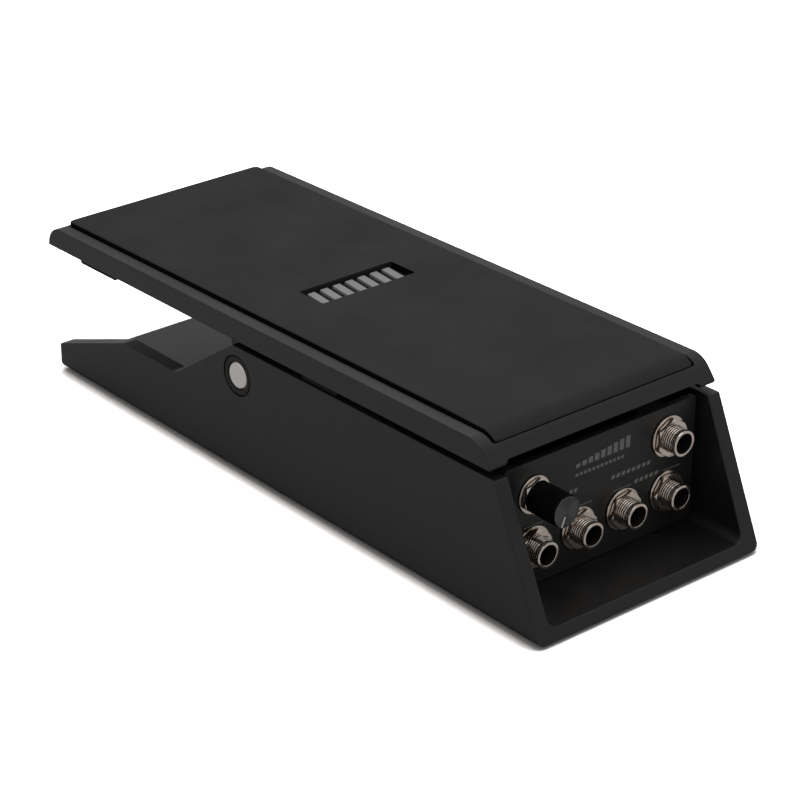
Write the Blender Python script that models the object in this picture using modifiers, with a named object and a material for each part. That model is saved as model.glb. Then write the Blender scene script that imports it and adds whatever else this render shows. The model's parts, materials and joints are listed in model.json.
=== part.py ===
"""Volume pedal: a cast base, a rocking foot plate, a jack panel and the gear train inside.

Frame: metres, +Z up, origin on the floor under the middle of the pedal.
X runs across the pedal, Y runs along it with the toe end at -Y and the heel at +Y.
Side outlines are written as (y, z) points and cross outlines as (x, z) points.
"""
import math

import bmesh
import bpy
from mathutils import Matrix, Vector

# ---------------------------------------------------------------- driving dimensions
HALF_WIDTH = 0.054
GAP = 0.0003                    # air between two pieces that touch on the real pedal
WALL = 0.0073                   # thickness of a cheek or a skirt

FLOOR_UNDERSIDE = 0.0012        # the base stands this high on its feet
FLOOR_TOP = 0.0056
TOE_FOOT_Y = -0.1460            # lower edge of the leaning toe end
TOE_HEAD_Y = -0.1221            # upper edge of the leaning toe end
CHEEK_HEIGHT = 0.05375          # cheek top at y = 0
CHEEK_SLOPE = -0.0146
PEAK_Y = 0.0239                 # where the cheek top turns down behind the pivot
VALLEY = (0.0609, 0.0285)
RIDGE = (0.0955, 0.0283)
WEDGE_END = (0.1411, 0.0118)
CHEEK_INNER_TOP = 0.0482        # half width inside the cheeks, top and floor
CHEEK_INNER_FOOT = 0.0472
BASE_EDGE_ROUND = 0.0030

PIVOT = (0.0211, 0.0417)        # (y, z) of the hinge axis
SHAFT_RADIUS = 0.00535
BUSHING_RADIUS = 0.0066
FLANGE_RADIUS = 0.0077
FLANGE_THICK = 0.0012

TOP_HEIGHT = 0.06516            # treadle top at y = 0
TOP_SLOPE = -0.0184
SKIRT_HEIGHT = 0.0562           # treadle skirt's lower edge at y = 0
SKIRT_SLOPE = -0.0155
TREADLE_HEEL_Y = 0.1456
TREADLE_TOE_Y = -0.1132         # where the top line meets the slanted toe face
TREADLE_TOE_FOOT_Y = -0.1208
TREADLE_ROUND = 0.0104
PLATE_THICK = 0.0044
LIP_HEIGHT = 0.0602             # lower edge of the lip between the skirts at the toe
LUG_INNER = 0.0392
LUG_OUTER = 0.0453
LUG_RADIUS = 0.0095

MAT_HALF_WIDTH = 0.0480
MAT_HEEL_Y = 0.1400
MAT_RISE = 0.0003               # mat top above the bands beside it
MAT_RECESS = 0.0019
MAT_TOE_ANGLE = math.radians(37)
BADGE_HALF = (0.0226, 0.0073)
BADGE_Y = 0.0160

PANEL_FRONT = -0.1182
PANEL_THICK = 0.0025
PANEL_HALF_WIDTH = 0.0461
PANEL_TOP = 0.0551
PANEL_FOOT_DEPTH = 0.0130

JACK_PITCH = 0.0216
JACK_LOW = 0.0215
JACK_HIGH = 0.0433
JACKS = {
    "input_jack_outer": (-1.5 * JACK_PITCH, JACK_LOW),
    "input_jack_inner": (-0.5 * JACK_PITCH, JACK_LOW),
    "output_jack_inner": (0.5 * JACK_PITCH, JACK_LOW),
    "output_jack_outer": (1.5 * JACK_PITCH, JACK_LOW),
    "expression_jack": (1.5 * JACK_PITCH, JACK_HIGH),
}
KNOB_CENTRE = (-0.0324, 0.0420)
JACK_MOUTH_Y = -0.1266
THREAD_RADIUS = 0.0049
JACK_BORE_RADIUS = 0.0037
NUT_FLATS = 0.0134
SMALL_NUT_FLATS = 0.0122        # nuts of the two pots
NUT_THICK = 0.0018
WASHER_RADIUS = 0.0080
SMALL_WASHER_RADIUS = 0.0072
WASHER_THICK = 0.0006
JACK_BODY = (0.0152, 0.0220, 0.0160)
KNOB_RADIUS = 0.0061
KNOB_FRONT = -0.1350
KNOB_BACK = -0.1217
SMALL_SHAFT_RADIUS = 0.0030

GEAR_MODULE = 0.001
SECTOR_TEETH = 112              # teeth that the full circle would hold
PINION_TEETH = 16
SECTOR_X = (-0.0045, -0.0005)
PINION_X = (-0.0065, 0.0015)
PINION_Y = PIVOT[0] - GEAR_MODULE * (SECTOR_TEETH + PINION_TEETH) / 2
BRACKET_X = 0.0100
SHEET = 0.0016
POT_RADIUS = 0.0120

SCREW_RADIUS = 0.0015
SCREW_HEAD_RADIUS = 0.00275
SCREW_HOLE_RADIUS = 0.0018

# ---------------------------------------------------------------- materials
CAST_PAINT = ("cast_paint", (0.022, 0.022, 0.024), 0.45, 0.3)
BLACK_PAINT = ("black_paint", (0.022, 0.022, 0.024), 0.45, 0.3)
RUBBER = ("black_rubber", (0.03, 0.03, 0.03), 0.85, 0.0)
NICKEL = ("nickel", (0.62, 0.58, 0.55), 0.25, 1.0)
STEEL = ("steel", (0.55, 0.54, 0.53), 0.35, 1.0)
BLACK_PLASTIC = ("black_plastic", (0.015, 0.015, 0.015), 0.4, 0.0)
KNOB_PLASTIC = ("knob_plastic", (0.012, 0.012, 0.012), 0.3, 0.0)
WHITE_PLASTIC = ("white_plastic", (0.75, 0.73, 0.68), 0.4, 0.0)
BADGE_GREY = ("badge_grey", (0.28, 0.28, 0.29), 0.4, 0.2)
BOARD_GREEN = ("board_green", (0.02, 0.12, 0.05), 0.4, 0.0)
CABLE_GREY = ("cable_grey", (0.12, 0.12, 0.13), 0.6, 0.0)

ALONG_X = Matrix(((0, 0, 1), (1, 0, 0), (0, 1, 0)))     # outline (y, z), thickness along X
ALONG_Y = Matrix(((1, 0, 0), (0, 0, -1), (0, 1, 0)))    # outline (x, z), thickness along Y
ALONG_Z = Matrix.Identity(3)
TURN_X = Matrix(((0, 0, 1), (0, 1, 0), (-1, 0, 0)))     # a profile's height runs along +X
TURN_FRONT = Matrix(((1, 0, 0), (0, 0, -1), (0, 1, 0))) # a profile's height runs along -Y


# ---------------------------------------------------------------- tools
def clear_scene():
    """Remove the objects that the file opened with."""
    for item in list(bpy.data.objects):
        bpy.data.objects.remove(item, do_unlink=True)


def make_collection(name):
    """Return a new collection linked to the scene."""
    collection = bpy.data.collections.new(name)
    bpy.context.scene.collection.children.link(collection)
    return collection


def get_material(finish):
    """Return the Principled material for a (name, colour, roughness, metallic) finish."""
    name, colour, roughness, metallic = finish
    material = bpy.data.materials.get(name)
    if material is None:
        material = bpy.data.materials.new(name)
        material.use_nodes = True
        shader = material.node_tree.nodes["Principled BSDF"]
        shader.inputs["Base Color"].default_value = (*colour, 1.0)
        shader.inputs["Roughness"].default_value = roughness
        shader.inputs["Metallic"].default_value = metallic
    return material


def add_object(name, mesh, finish=None):
    """Link a mesh as a part of the pedal, or as a hidden cutter when it has no finish."""
    piece = bpy.data.objects.new(name, mesh)
    if finish is None:
        CUTTERS.objects.link(piece)
        piece.hide_render = True
        piece.display_type = "WIRE"
    else:
        PARTS.objects.link(piece)
        mesh.materials.append(get_material(finish))
    return piece


def place(piece, axes, location=(0.0, 0.0, 0.0)):
    """Turn a piece so that its own axes lie along the matrix's columns, then move it."""
    piece.matrix_world = Matrix.Translation(Vector(location)) @ axes.to_4x4()
    return piece


def box(name, low, high, finish=None, bevel=0.0):
    """A box between two corners, with rounded edges where bevel is given."""
    shape = bmesh.new()
    bmesh.ops.create_cube(shape, size=1.0)
    low, high = Vector(low), Vector(high)
    for corner in shape.verts:
        corner.co = Vector(
            (low[i] + (corner.co[i] + 0.5) * (high[i] - low[i]) for i in range(3))
        )
    mesh = bpy.data.meshes.new(name)
    shape.to_mesh(mesh)
    shape.free()
    piece = add_object(name, mesh, finish)
    if bevel:
        add_bevel(piece, bevel)
    return piece


def cylinder(name, radius, start, end, axes, centre, finish=None, sides=24):
    """A cylinder from start to end along the third of the given axes."""
    shape = bmesh.new()
    bmesh.ops.create_cone(
        shape, cap_ends=True, segments=sides, radius1=radius, radius2=radius,
        depth=end - start, matrix=Matrix.Translation((0, 0, (start + end) / 2)),
    )
    mesh = bpy.data.meshes.new(name)
    shape.to_mesh(mesh)
    shape.free()
    return place(add_object(name, mesh, finish), axes, centre)


def add_bevel(piece, width, segments=2):
    """Round the sharp edges of a piece."""
    bevel = piece.modifiers.new("rounded_edges", "BEVEL")
    bevel.width = width
    bevel.segments = segments
    bevel.limit_method = "ANGLE"
    bevel.angle_limit = math.radians(35)


def combine(piece, other, operation):
    """Cut a piece with another, or join or intersect them."""
    boolean = piece.modifiers.new(other.name, "BOOLEAN")
    boolean.operation = operation
    boolean.object = other
    boolean.solver = "EXACT"


def cut(piece, *cutters):
    """Take the cutters' volume out of a piece."""
    for cutter in cutters:
        combine(piece, cutter, "DIFFERENCE")


def join(piece, *additions):
    """Fuse the additions onto a piece."""
    for addition in additions:
        combine(piece, addition, "UNION")


def rounded(corners, steps=5):
    """Outline through (a, b, radius) corners, each corner replaced by an arc."""
    outline = []
    count = len(corners)
    for index, (a, b, radius) in enumerate(corners):
        corner = Vector((a, b))
        if not radius:
            outline.append(corner)
            continue
        before = Vector(corners[index - 1][:2]) - corner
        after = Vector(corners[(index + 1) % count][:2]) - corner
        before.normalize()
        after.normalize()
        half = before.angle(after) / 2
        reach = radius / math.tan(half)
        centre = corner + (before + after).normalized() * (radius / math.sin(half))
        first = corner + before * reach - centre
        sweep = (corner + after * reach - centre).angle_signed(first)
        for step in range(steps + 1):
            turn = Matrix.Rotation(sweep * step / steps, 2)
            outline.append(centre + turn @ first)
    return outline


def circle(radius, centre=(0.0, 0.0), sides=24, phase=0.0):
    """Points round a circle."""
    return [
        Vector((
            centre[0] + radius * math.cos(phase + math.tau * k / sides),
            centre[1] + radius * math.sin(phase + math.tau * k / sides),
        ))
        for k in range(sides)
    ]


def plate(name, loops, start, end, axes, finish=None):
    """A flat outline, with any holes as further loops, thickened from start to end."""
    curve = bpy.data.curves.new(name, "CURVE")
    curve.dimensions = "2D"
    curve.fill_mode = "BOTH"
    curve.extrude = (end - start) / 2
    for loop in loops:
        spline = curve.splines.new("POLY")
        spline.points.add(len(loop) - 1)
        for point, (a, b) in zip(spline.points, loop):
            point.co = (a, b, 0.0, 1.0)
        spline.use_cyclic_u = True
    source = bpy.data.objects.new(name + "_outline", curve)
    CUTTERS.objects.link(source)
    evaluated = source.evaluated_get(bpy.context.evaluated_depsgraph_get())
    mesh = bpy.data.meshes.new_from_object(evaluated)
    bpy.data.objects.remove(source, do_unlink=True)
    shape = bmesh.new()
    shape.from_mesh(mesh)
    bmesh.ops.remove_doubles(shape, verts=shape.verts, dist=0.000001)
    if len(loops) == 1:
        bmesh.ops.dissolve_limit(
            shape, angle_limit=math.radians(0.3), verts=shape.verts, edges=shape.edges
        )
    bmesh.ops.recalc_face_normals(shape, faces=shape.faces)
    shape.to_mesh(mesh)
    shape.free()
    mesh.name = name
    middle = axes @ Vector((0.0, 0.0, (start + end) / 2))
    return place(add_object(name, mesh, finish), axes, middle)


def turned(name, profile, axes, centre, finish=None, steps=24, closed=False):
    """Spin (radius, height) points, which run down the outer side, about the third axis."""
    mesh = bpy.data.meshes.new(name)
    links = [(k, k + 1) for k in range(len(profile) - 1)]
    if closed:
        links.append((len(profile) - 1, 0))
    mesh.from_pydata([(radius, 0.0, height) for radius, height in profile], links, [])
    piece = add_object(name, mesh, finish)
    spin = piece.modifiers.new("turned", "SCREW")
    spin.axis = "Z"
    spin.steps = steps
    spin.render_steps = steps
    spin.use_merge_vertices = True
    spin.merge_threshold = 0.00001
    spin.use_smooth_shade = True
    return place(piece, axes, centre)


def top_line(y):
    """Height of the treadle's side bands."""
    return TOP_HEIGHT + TOP_SLOPE * y


def skirt_line(y):
    """Height of the treadle skirts' lower edges."""
    return SKIRT_HEIGHT + SKIRT_SLOPE * y


def cheek_line(y):
    """Height of the cheeks' level top edges."""
    return CHEEK_HEIGHT + CHEEK_SLOPE * y


# ---------------------------------------------------------------- base
FOOT_PLACES = {
    "rubber_foot_toe_left": (-0.038, -0.112),
    "rubber_foot_toe_right": (0.038, -0.112),
    "rubber_foot_heel_left": (-0.038, 0.123),
    "rubber_foot_heel_right": (0.038, 0.123),
}
FOOT_RADIUS = 0.007
FOOT_SOCKET = 0.0012
PANEL_SCREWS = {"jack_panel_screw_left": -0.020, "jack_panel_screw_right": 0.020}
PANEL_SCREW_Y = PANEL_FRONT + 0.0085
BRACKET_SCREWS = {
    "pot_bracket_screw_toe": (BRACKET_X + 0.0100, PINION_Y - 0.008),
    "pot_bracket_screw_heel": (BRACKET_X + 0.0100, PINION_Y + 0.008),
}
BRACKET_FOOT_TOP = FLOOR_TOP + GAP + SHEET


def build_base():
    """The cast channel: a U section cut off along the pedal's side outline."""
    high = 0.062
    section = rounded([
        (-HALF_WIDTH, high, 0), (-HALF_WIDTH, FLOOR_UNDERSIDE, BASE_EDGE_ROUND),
        (HALF_WIDTH, FLOOR_UNDERSIDE, BASE_EDGE_ROUND), (HALF_WIDTH, high, 0),
        (CHEEK_INNER_TOP, high, 0), (CHEEK_INNER_FOOT, FLOOR_TOP, 0.004),
        (-CHEEK_INNER_FOOT, FLOOR_TOP, 0.004), (-CHEEK_INNER_TOP, high, 0),
    ])
    base = plate("base_channel", [section], -0.150, 0.150, ALONG_Y, CAST_PAINT)
    side = rounded([
        (TOE_FOOT_Y, FLOOR_UNDERSIDE, 0.0008),
        (TOE_HEAD_Y, cheek_line(TOE_HEAD_Y), 0.0012),
        (PEAK_Y, cheek_line(PEAK_Y), 0.0008),
        (*VALLEY, 0.008),
        (*RIDGE, 0.006),
        (*WEDGE_END, 0.0015),
        (WEDGE_END[0], FLOOR_UNDERSIDE, 0.002),
    ], steps=3)
    outline = plate("base_side_outline", [side], -0.06, 0.06, ALONG_X)
    combine(base, outline, "INTERSECT")

    bore = cylinder("cheek_bore", BUSHING_RADIUS + GAP, -0.06, 0.06, ALONG_X, (0, *PIVOT))
    cut(base, bore)
    sink = FLANGE_THICK + GAP
    for side_name, sign in (("left", -1), ("right", 1)):
        ends = sorted((sign * (HALF_WIDTH - sink), sign * (HALF_WIDTH + 0.002)))
        cut(base, cylinder(f"flange_sink_{side_name}", FLANGE_RADIUS + 0.0005,
                           ends[0], ends[1], ALONG_X, (0, *PIVOT), sides=32))
    floor_end = WEDGE_END[0] - 0.0033
    heel_edge = rounded([
        (floor_end, FLOOR_TOP + 0.002, 0), (floor_end, FLOOR_TOP, 0),
        (WEDGE_END[0] + 0.001, FLOOR_UNDERSIDE + 0.0004, 0),
        (WEDGE_END[0] + 0.001, FLOOR_TOP + 0.002, 0),
    ])
    cut(base, plate("floor_heel_edge", [heel_edge], -CHEEK_INNER_FOOT, CHEEK_INNER_FOOT,
                    ALONG_X))
    for name, (x, y) in FOOT_PLACES.items():
        cut(base, cylinder(name + "_socket", FOOT_RADIUS + GAP, FLOOR_UNDERSIDE - 0.001,
                           FLOOR_UNDERSIDE + FOOT_SOCKET, ALONG_Z, (x, y, 0)))
    for name, x in PANEL_SCREWS.items():
        centre = (x, PANEL_SCREW_Y, 0)
        cut(base,
            cylinder(name + "_sink", 0.0033, FLOOR_UNDERSIDE - 0.001,
                     FLOOR_UNDERSIDE + 0.0022, ALONG_Z, centre, sides=16),
            cylinder(name + "_bore", SCREW_HOLE_RADIUS, 0.002, 0.008, ALONG_Z, centre,
                     sides=12))
    for name, (x, y) in BRACKET_SCREWS.items():
        cut(base, cylinder(name + "_bore", SCREW_HOLE_RADIUS, 0.003, 0.008, ALONG_Z,
                           (x, y, 0), sides=12))


def build_feet():
    """Four rubber discs let into the underside."""
    for name, (x, y) in FOOT_PLACES.items():
        high = FLOOR_UNDERSIDE + FOOT_SOCKET - GAP
        profile = [(0, high), (FOOT_RADIUS, high), (FOOT_RADIUS, 0.0005),
                   (FOOT_RADIUS - 0.0005, 0), (0, 0)]
        turned(name, profile, ALONG_Z, (x, y, 0), RUBBER, steps=20)


def build_bushings():
    """Flanged bushes in the cheeks, flush with the pedal's sides."""
    bore = SHAFT_RADIUS + GAP
    for name, sign in (("pivot_bushing_left", -1), ("pivot_bushing_right", 1)):
        length = HALF_WIDTH - LUG_OUTER - GAP
        profile = [
            (bore, length), (FLANGE_RADIUS, length),
            (FLANGE_RADIUS, length - FLANGE_THICK),
            (BUSHING_RADIUS, length - FLANGE_THICK), (BUSHING_RADIUS, 0.0), (bore, 0.0),
        ]
        axes = TURN_X if sign > 0 else Matrix.Rotation(math.pi, 3, "Y") @ TURN_X
        start = sign * (LUG_OUTER + GAP)
        turned(name, profile, axes, (start, *PIVOT), BLACK_PLASTIC, closed=True)


# ---------------------------------------------------------------- jack panel
def build_panel():
    """The upright plate across the toe end, with a foot that is screwed to the floor."""
    low = FLOOR_TOP + GAP
    face = rounded([
        (-PANEL_HALF_WIDTH, low, 0.0038), (PANEL_HALF_WIDTH, low, 0.0038),
        (PANEL_HALF_WIDTH, PANEL_TOP, 0.0012), (-PANEL_HALF_WIDTH, PANEL_TOP, 0.0012),
    ])
    holes = [circle(THREAD_RADIUS + GAP, centre) for centre in JACKS.values()]
    holes.append(circle(THREAD_RADIUS + GAP, KNOB_CENTRE))
    panel = plate("jack_panel", [face, *holes], -PANEL_FRONT - PANEL_THICK, -PANEL_FRONT,
                  ALONG_Y, BLACK_PAINT)
    foot = box("jack_panel_foot", (-0.037, PANEL_FRONT + 0.0005, low),
               (0.037, PANEL_FRONT + PANEL_FOOT_DEPTH, low + 0.002))
    join(panel, foot)
    for name, x in PANEL_SCREWS.items():
        cut(panel, cylinder(name + "_hole", SCREW_HOLE_RADIUS, low - 0.001, low + 0.003,
                            ALONG_Z, (x, PANEL_SCREW_Y, 0), sides=12))
        head = FLOOR_UNDERSIDE + 0.0003
        profile = [(0, low + 0.0028), (SCREW_RADIUS, low + 0.0028),
                   (SCREW_RADIUS, head + 0.0016), (SCREW_HEAD_RADIUS, head + 0.0016),
                   (SCREW_HEAD_RADIUS, head), (0, head)]
        turned(name, profile, ALONG_Z, (x, PANEL_SCREW_Y, 0), STEEL, steps=16)


def hex_nut(name, centre, front, flats):
    """A hexagon nut on a threaded bushing, its front face at the given y."""
    corners = circle(flats / math.sqrt(3), centre, sides=6, phase=math.radians(30))
    bore = circle(THREAD_RADIUS + GAP, centre)
    plate(name, [corners, bore], -front - NUT_THICK, -front, ALONG_Y, NICKEL)


def washer(name, centre, radius):
    """A flat ring against the panel's front."""
    ring = [circle(radius, centre), circle(THREAD_RADIUS + GAP, centre)]
    back = -PANEL_FRONT + GAP
    plate(name, ring, back, back + WASHER_THICK, ALONG_Y, NICKEL)


def build_jacks():
    """Five quarter-inch jacks: bushing, nut, washer and body."""
    nut_front = PANEL_FRONT - 2 * GAP - WASHER_THICK - NUT_THICK
    body_front = PANEL_FRONT + PANEL_THICK + GAP
    socket = 0.0020
    width, depth, height = JACK_BODY
    for name, (x, z) in JACKS.items():
        washer(name + "_washer", (x, z), WASHER_RADIUS)
        hex_nut(name + "_nut", (x, z), nut_front, NUT_FLATS)
        mouth = -JACK_MOUTH_Y
        rear = -(body_front + socket - GAP)
        collar = THREAD_RADIUS - 0.0001
        profile = [
            (JACK_BORE_RADIUS + 0.0002, mouth), (collar - 0.0003, mouth),
            (collar, mouth - 0.0003), (collar, mouth - 0.0012),
            (THREAD_RADIUS, mouth - 0.0014), (THREAD_RADIUS, rear),
            (JACK_BORE_RADIUS, rear), (JACK_BORE_RADIUS, mouth - 0.0002),
        ]
        turned(name + "_bushing", profile, TURN_FRONT, (x, 0, z), NICKEL, closed=True)
        body = box(name + "_body", (x - width / 2, body_front, z - height / 2),
                   (x + width / 2, body_front + depth, z + height / 2),
                   BLACK_PLASTIC, bevel=0.0008)
        cut(body,
            cylinder(name + "_seat", THREAD_RADIUS + GAP, -body_front - socket,
                     -body_front + 0.001, ALONG_Y, (x, 0, z)),
            cylinder(name + "_tunnel", JACK_BORE_RADIUS, -body_front - 0.018,
                     -body_front, ALONG_Y, (x, 0, z), sides=16))


def build_minimum_volume():
    """The small pot beside the jacks that sets the lowest volume, with its knob."""
    x, z = KNOB_CENTRE
    washer("minimum_volume_washer", KNOB_CENTRE, SMALL_WASHER_RADIUS)
    nut_front = PANEL_FRONT - 2 * GAP - WASHER_THICK - NUT_THICK
    hex_nut("minimum_volume_nut", KNOB_CENTRE, nut_front, SMALL_NUT_FLATS)
    front = -(PANEL_FRONT + PANEL_THICK + GAP)
    back = front - 0.0090
    bore = SMALL_SHAFT_RADIUS + GAP
    profile = [
        (bore, -KNOB_BACK - 0.0004), (THREAD_RADIUS, -KNOB_BACK - 0.0004),
        (THREAD_RADIUS, front), (0.0082, front), (0.0082, back), (0, back),
        (0, back + 0.003), (bore, back + 0.003),
    ]
    turned("minimum_volume_pot", profile, TURN_FRONT, (x, 0, z), NICKEL, closed=True)
    tip = -KNOB_FRONT - 0.0020
    shaft = [(0, tip), (SMALL_SHAFT_RADIUS, tip), (SMALL_SHAFT_RADIUS, back + 0.0033),
             (0, back + 0.0033)]
    turned("minimum_volume_shaft", shaft, TURN_FRONT, (x, 0, z), STEEL, steps=16)
    face = -KNOB_FRONT
    rear = -KNOB_BACK
    neck = KNOB_RADIUS - 0.0006
    knob = [
        (0, face), (KNOB_RADIUS - 0.0005, face), (KNOB_RADIUS, face - 0.0005),
        (KNOB_RADIUS, rear + 0.0022), (neck, rear + 0.0018), (neck, rear),
        (bore, rear), (bore, tip + GAP), (0, tip + GAP),
    ]
    turned("minimum_volume_knob", knob, TURN_FRONT, (x, 0, z), KNOB_PLASTIC, steps=28,
           closed=True)


def build_board():
    """The circuit board that the jacks are soldered to."""
    front = PANEL_FRONT + PANEL_THICK + GAP + JACK_BODY[1] + 0.0007
    box("circuit_board", (-0.0420, front, 0.0100), (0.0420, front + SHEET, 0.0440),
        BOARD_GREEN)
    return front + SHEET


# ---------------------------------------------------------------- treadle
SECTOR_BOSSES = (-0.0095, 0.0045)
SECTOR_BOSS_Y = -0.0250
SECTOR_FLANGE_TOP = 0.0580
SECTOR_FLANGE_THICK = 0.0026


def toe_profile(rise):
    """Treadle's outer line at the toe, offset outwards, from the flat to the toe foot."""
    slant = Vector((TREADLE_TOE_FOOT_Y - TREADLE_TOE_Y,
                    skirt_line(TREADLE_TOE_FOOT_Y) - top_line(TREADLE_TOE_Y)))
    flat = Vector((1.0, TOP_SLOPE)).normalized()
    corner = Vector((TREADLE_TOE_Y, top_line(TREADLE_TOE_Y)))
    half = flat.angle(slant) / 2
    reach = TREADLE_ROUND / math.tan(half)
    start = corner + flat * reach
    centre = start - Vector((-flat[1], flat[0])) * TREADLE_ROUND
    return centre, TREADLE_ROUND + rise, math.atan(TOP_SLOPE)


def build_treadle():
    """The foot plate: an upside-down tray with lugs that hold the pivot shaft."""
    outline = rounded([
        (TREADLE_HEEL_Y, skirt_line(TREADLE_HEEL_Y), 0),
        (TREADLE_HEEL_Y, top_line(TREADLE_HEEL_Y), 0.0081),
        (TREADLE_TOE_Y, top_line(TREADLE_TOE_Y), TREADLE_ROUND),
        (TREADLE_TOE_FOOT_Y, skirt_line(TREADLE_TOE_FOOT_Y), 0),
    ])
    treadle = plate("treadle", [outline], -HALF_WIDTH, HALF_WIDTH, ALONG_X, CAST_PAINT)
    add_bevel(treadle, 0.0008)

    inner = HALF_WIDTH - WALL
    toe_wall = TREADLE_TOE_FOOT_Y + 0.0040
    heel_wall = TREADLE_HEEL_Y - 0.0042
    room = rounded([
        (toe_wall, 0.040, 0), (heel_wall, 0.040, 0),
        (heel_wall, top_line(heel_wall) - PLATE_THICK, 0.003),
        (toe_wall, top_line(toe_wall) - PLATE_THICK, 0.006),
    ])
    cut(treadle, plate("treadle_room", [room], -inner, inner, ALONG_X))
    mouth = rounded([(-inner, 0.040, 0), (inner, 0.040, 0), (inner, LIP_HEIGHT, 0.002),
                     (-inner, LIP_HEIGHT, 0.002)])
    cut(treadle, plate("treadle_toe_mouth", [mouth], -toe_wall - 0.004,
                       -toe_wall + 0.010, ALONG_Y))
    cut(treadle, build_mat_solid("mat_recess", -MAT_RECESS, 0.006, 0.0004))

    y, z = PIVOT
    for side_name, sign in (("left", -1), ("right", 1)):
        ends = sorted((sign * LUG_INNER, sign * LUG_OUTER))
        lug = rounded([
            (y - 0.019, 0.0620, 0), (y - LUG_RADIUS, z - LUG_RADIUS, LUG_RADIUS * 0.98),
            (y + LUG_RADIUS, z - LUG_RADIUS, LUG_RADIUS * 0.98), (y + 0.019, 0.0620, 0),
        ])
        join(treadle, plate(f"hinge_lug_{side_name}", [lug], ends[0], ends[1], ALONG_X))
    for x in SECTOR_BOSSES:
        join(treadle, cylinder(f"sector_boss_{x:+.4f}", 0.0045, SECTOR_FLANGE_TOP + GAP,
                               0.0630, ALONG_Z, (x, SECTOR_BOSS_Y, 0), sides=16))
    cut(treadle, cylinder("lug_bore", SHAFT_RADIUS + GAP, -0.048, 0.048, ALONG_X,
                          (0, *PIVOT)))
    for x in SECTOR_BOSSES:
        cut(treadle, cylinder(f"sector_boss_hole_{x:+.4f}", SCREW_HOLE_RADIUS, 0.057,
                              0.0632, ALONG_Z, (x, SECTOR_BOSS_Y, 0), sides=12))
    lug_middle = (LUG_INNER + LUG_OUTER) / 2
    for name, sign in (("shaft_set_screw_left", -1), ("shaft_set_screw_right", 1)):
        centre = (sign * lug_middle, y, 0)
        cut(treadle, cylinder(name + "_hole", 0.0020, z - 0.012, z - 0.003, ALONG_Z,
                              centre, sides=16))
        low = z - LUG_RADIUS + 0.0004
        high = z - SHAFT_RADIUS - GAP
        hexagon = circle(0.0009, sides=6)
        screw = cylinder(name, 0.0017, low, high, ALONG_Z, centre, STEEL, sides=16)
        cut(screw, plate(name + "_socket", [hexagon], low - 0.001, low + 0.0015, ALONG_Z))
        bpy.data.objects[name + "_socket"].location += Vector(centre)

    cylinder("pivot_shaft", SHAFT_RADIUS, -HALF_WIDTH + 0.0002, HALF_WIDTH - 0.0002,
             ALONG_X, (0, *PIVOT), STEEL, sides=28)
    add_bevel(bpy.data.objects["pivot_shaft"], 0.0005, segments=1)


def build_mat_solid(name, low, high, spread, finish=None):
    """The mat's shape between two offsets from the treadle's top line, grown by spread."""
    centre, outer, tilt = toe_profile(high)
    inner = outer - high + low
    angles = [tilt + (MAT_TOE_ANGLE + spread / outer) * k / 4 for k in range(5)]
    arc = [(-math.sin(a), math.cos(a)) for a in angles]
    heel = MAT_HEEL_Y + spread
    outline = [Vector((heel, top_line(heel) + low)), Vector((heel, top_line(heel) + high))]
    outline += [centre + Vector(d) * outer for d in arc]
    outline += [centre + Vector(d) * inner for d in reversed(arc)]
    half = MAT_HALF_WIDTH + spread
    return plate(name, [outline], -half, half, ALONG_X, finish)


def build_mat():
    """The rubber mat with its window, and the badge in the window."""
    mat = build_mat_solid("tread_mat", -MAT_RECESS + GAP, MAT_RISE, 0.0, RUBBER)
    add_bevel(mat, 0.0005, segments=1)
    half_x, half_y = BADGE_HALF
    middle = top_line(BADGE_Y)
    cut(mat, box("mat_window", (-half_x, BADGE_Y - half_y, middle - 0.005),
                 (half_x, BADGE_Y + half_y, middle + 0.005)))
    plinth = (middle - MAT_RECESS + 0.0006, middle + 0.0002)
    badge = box("mat_badge", (-half_x + GAP, BADGE_Y - half_y + GAP, plinth[0]),
                (half_x - GAP, BADGE_Y + half_y - GAP, plinth[1]), BADGE_GREY)
    bars = 7
    pitch = 2 * (half_x - 0.0012) / bars
    lean = 0.0022
    for k in range(bars):
        left = -half_x + 0.0018 + k * pitch
        right = left + pitch - 0.0013
        low, high = BADGE_Y - half_y + 0.0012, BADGE_Y + half_y - 0.0012
        bar = [Vector((left, low)), Vector((right - lean / 2, low)),
               Vector((right, high)), Vector((left + lean / 2, high))]
        join(badge, plate(f"badge_bar_{k}", [bar], plinth[1] - 0.0003, middle + 0.0012,
                          ALONG_Z))


def build_stop_pads():
    """Rubber pads under the skirts: at the heel and just toe-ward of the pivot."""
    pads = {
        "heel_stop_pad": (0.1000, 0.1241, 0.0016),
        "toe_stop_pad": (-0.0372, -0.0170, 0.0020),
    }
    for name, (start, end, depth) in pads.items():
        for side_name, sign in (("left", -1), ("right", 1)):
            ends = sorted((sign * 0.0482, sign * 0.0532))
            outline = rounded([
                (start, skirt_line(start) - GAP, 0), (start, skirt_line(start) - depth, 0.0012),
                (end, skirt_line(end) - depth, 0.0012), (end, skirt_line(end) - GAP, 0),
            ], steps=3)
            plate(f"{name}_{side_name}", [outline], ends[0], ends[1], ALONG_X, RUBBER)


# ---------------------------------------------------------------- gear train
PRESSURE_ANGLE = math.radians(20)
BACKLASH = 0.0003


def involute(angle):
    """The involute function."""
    return math.tan(angle) - angle


def half_tooth_angle(teeth, radius):
    """Half of the angle that a tooth fills at a radius."""
    pitch_radius = GEAR_MODULE * teeth / 2
    base_radius = pitch_radius * math.cos(PRESSURE_ANGLE)
    at_pitch = math.pi / (2 * teeth) - BACKLASH / (4 * pitch_radius)
    roll = math.acos(min(1.0, base_radius / radius))
    return at_pitch + involute(PRESSURE_ANGLE) - involute(roll)


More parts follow.
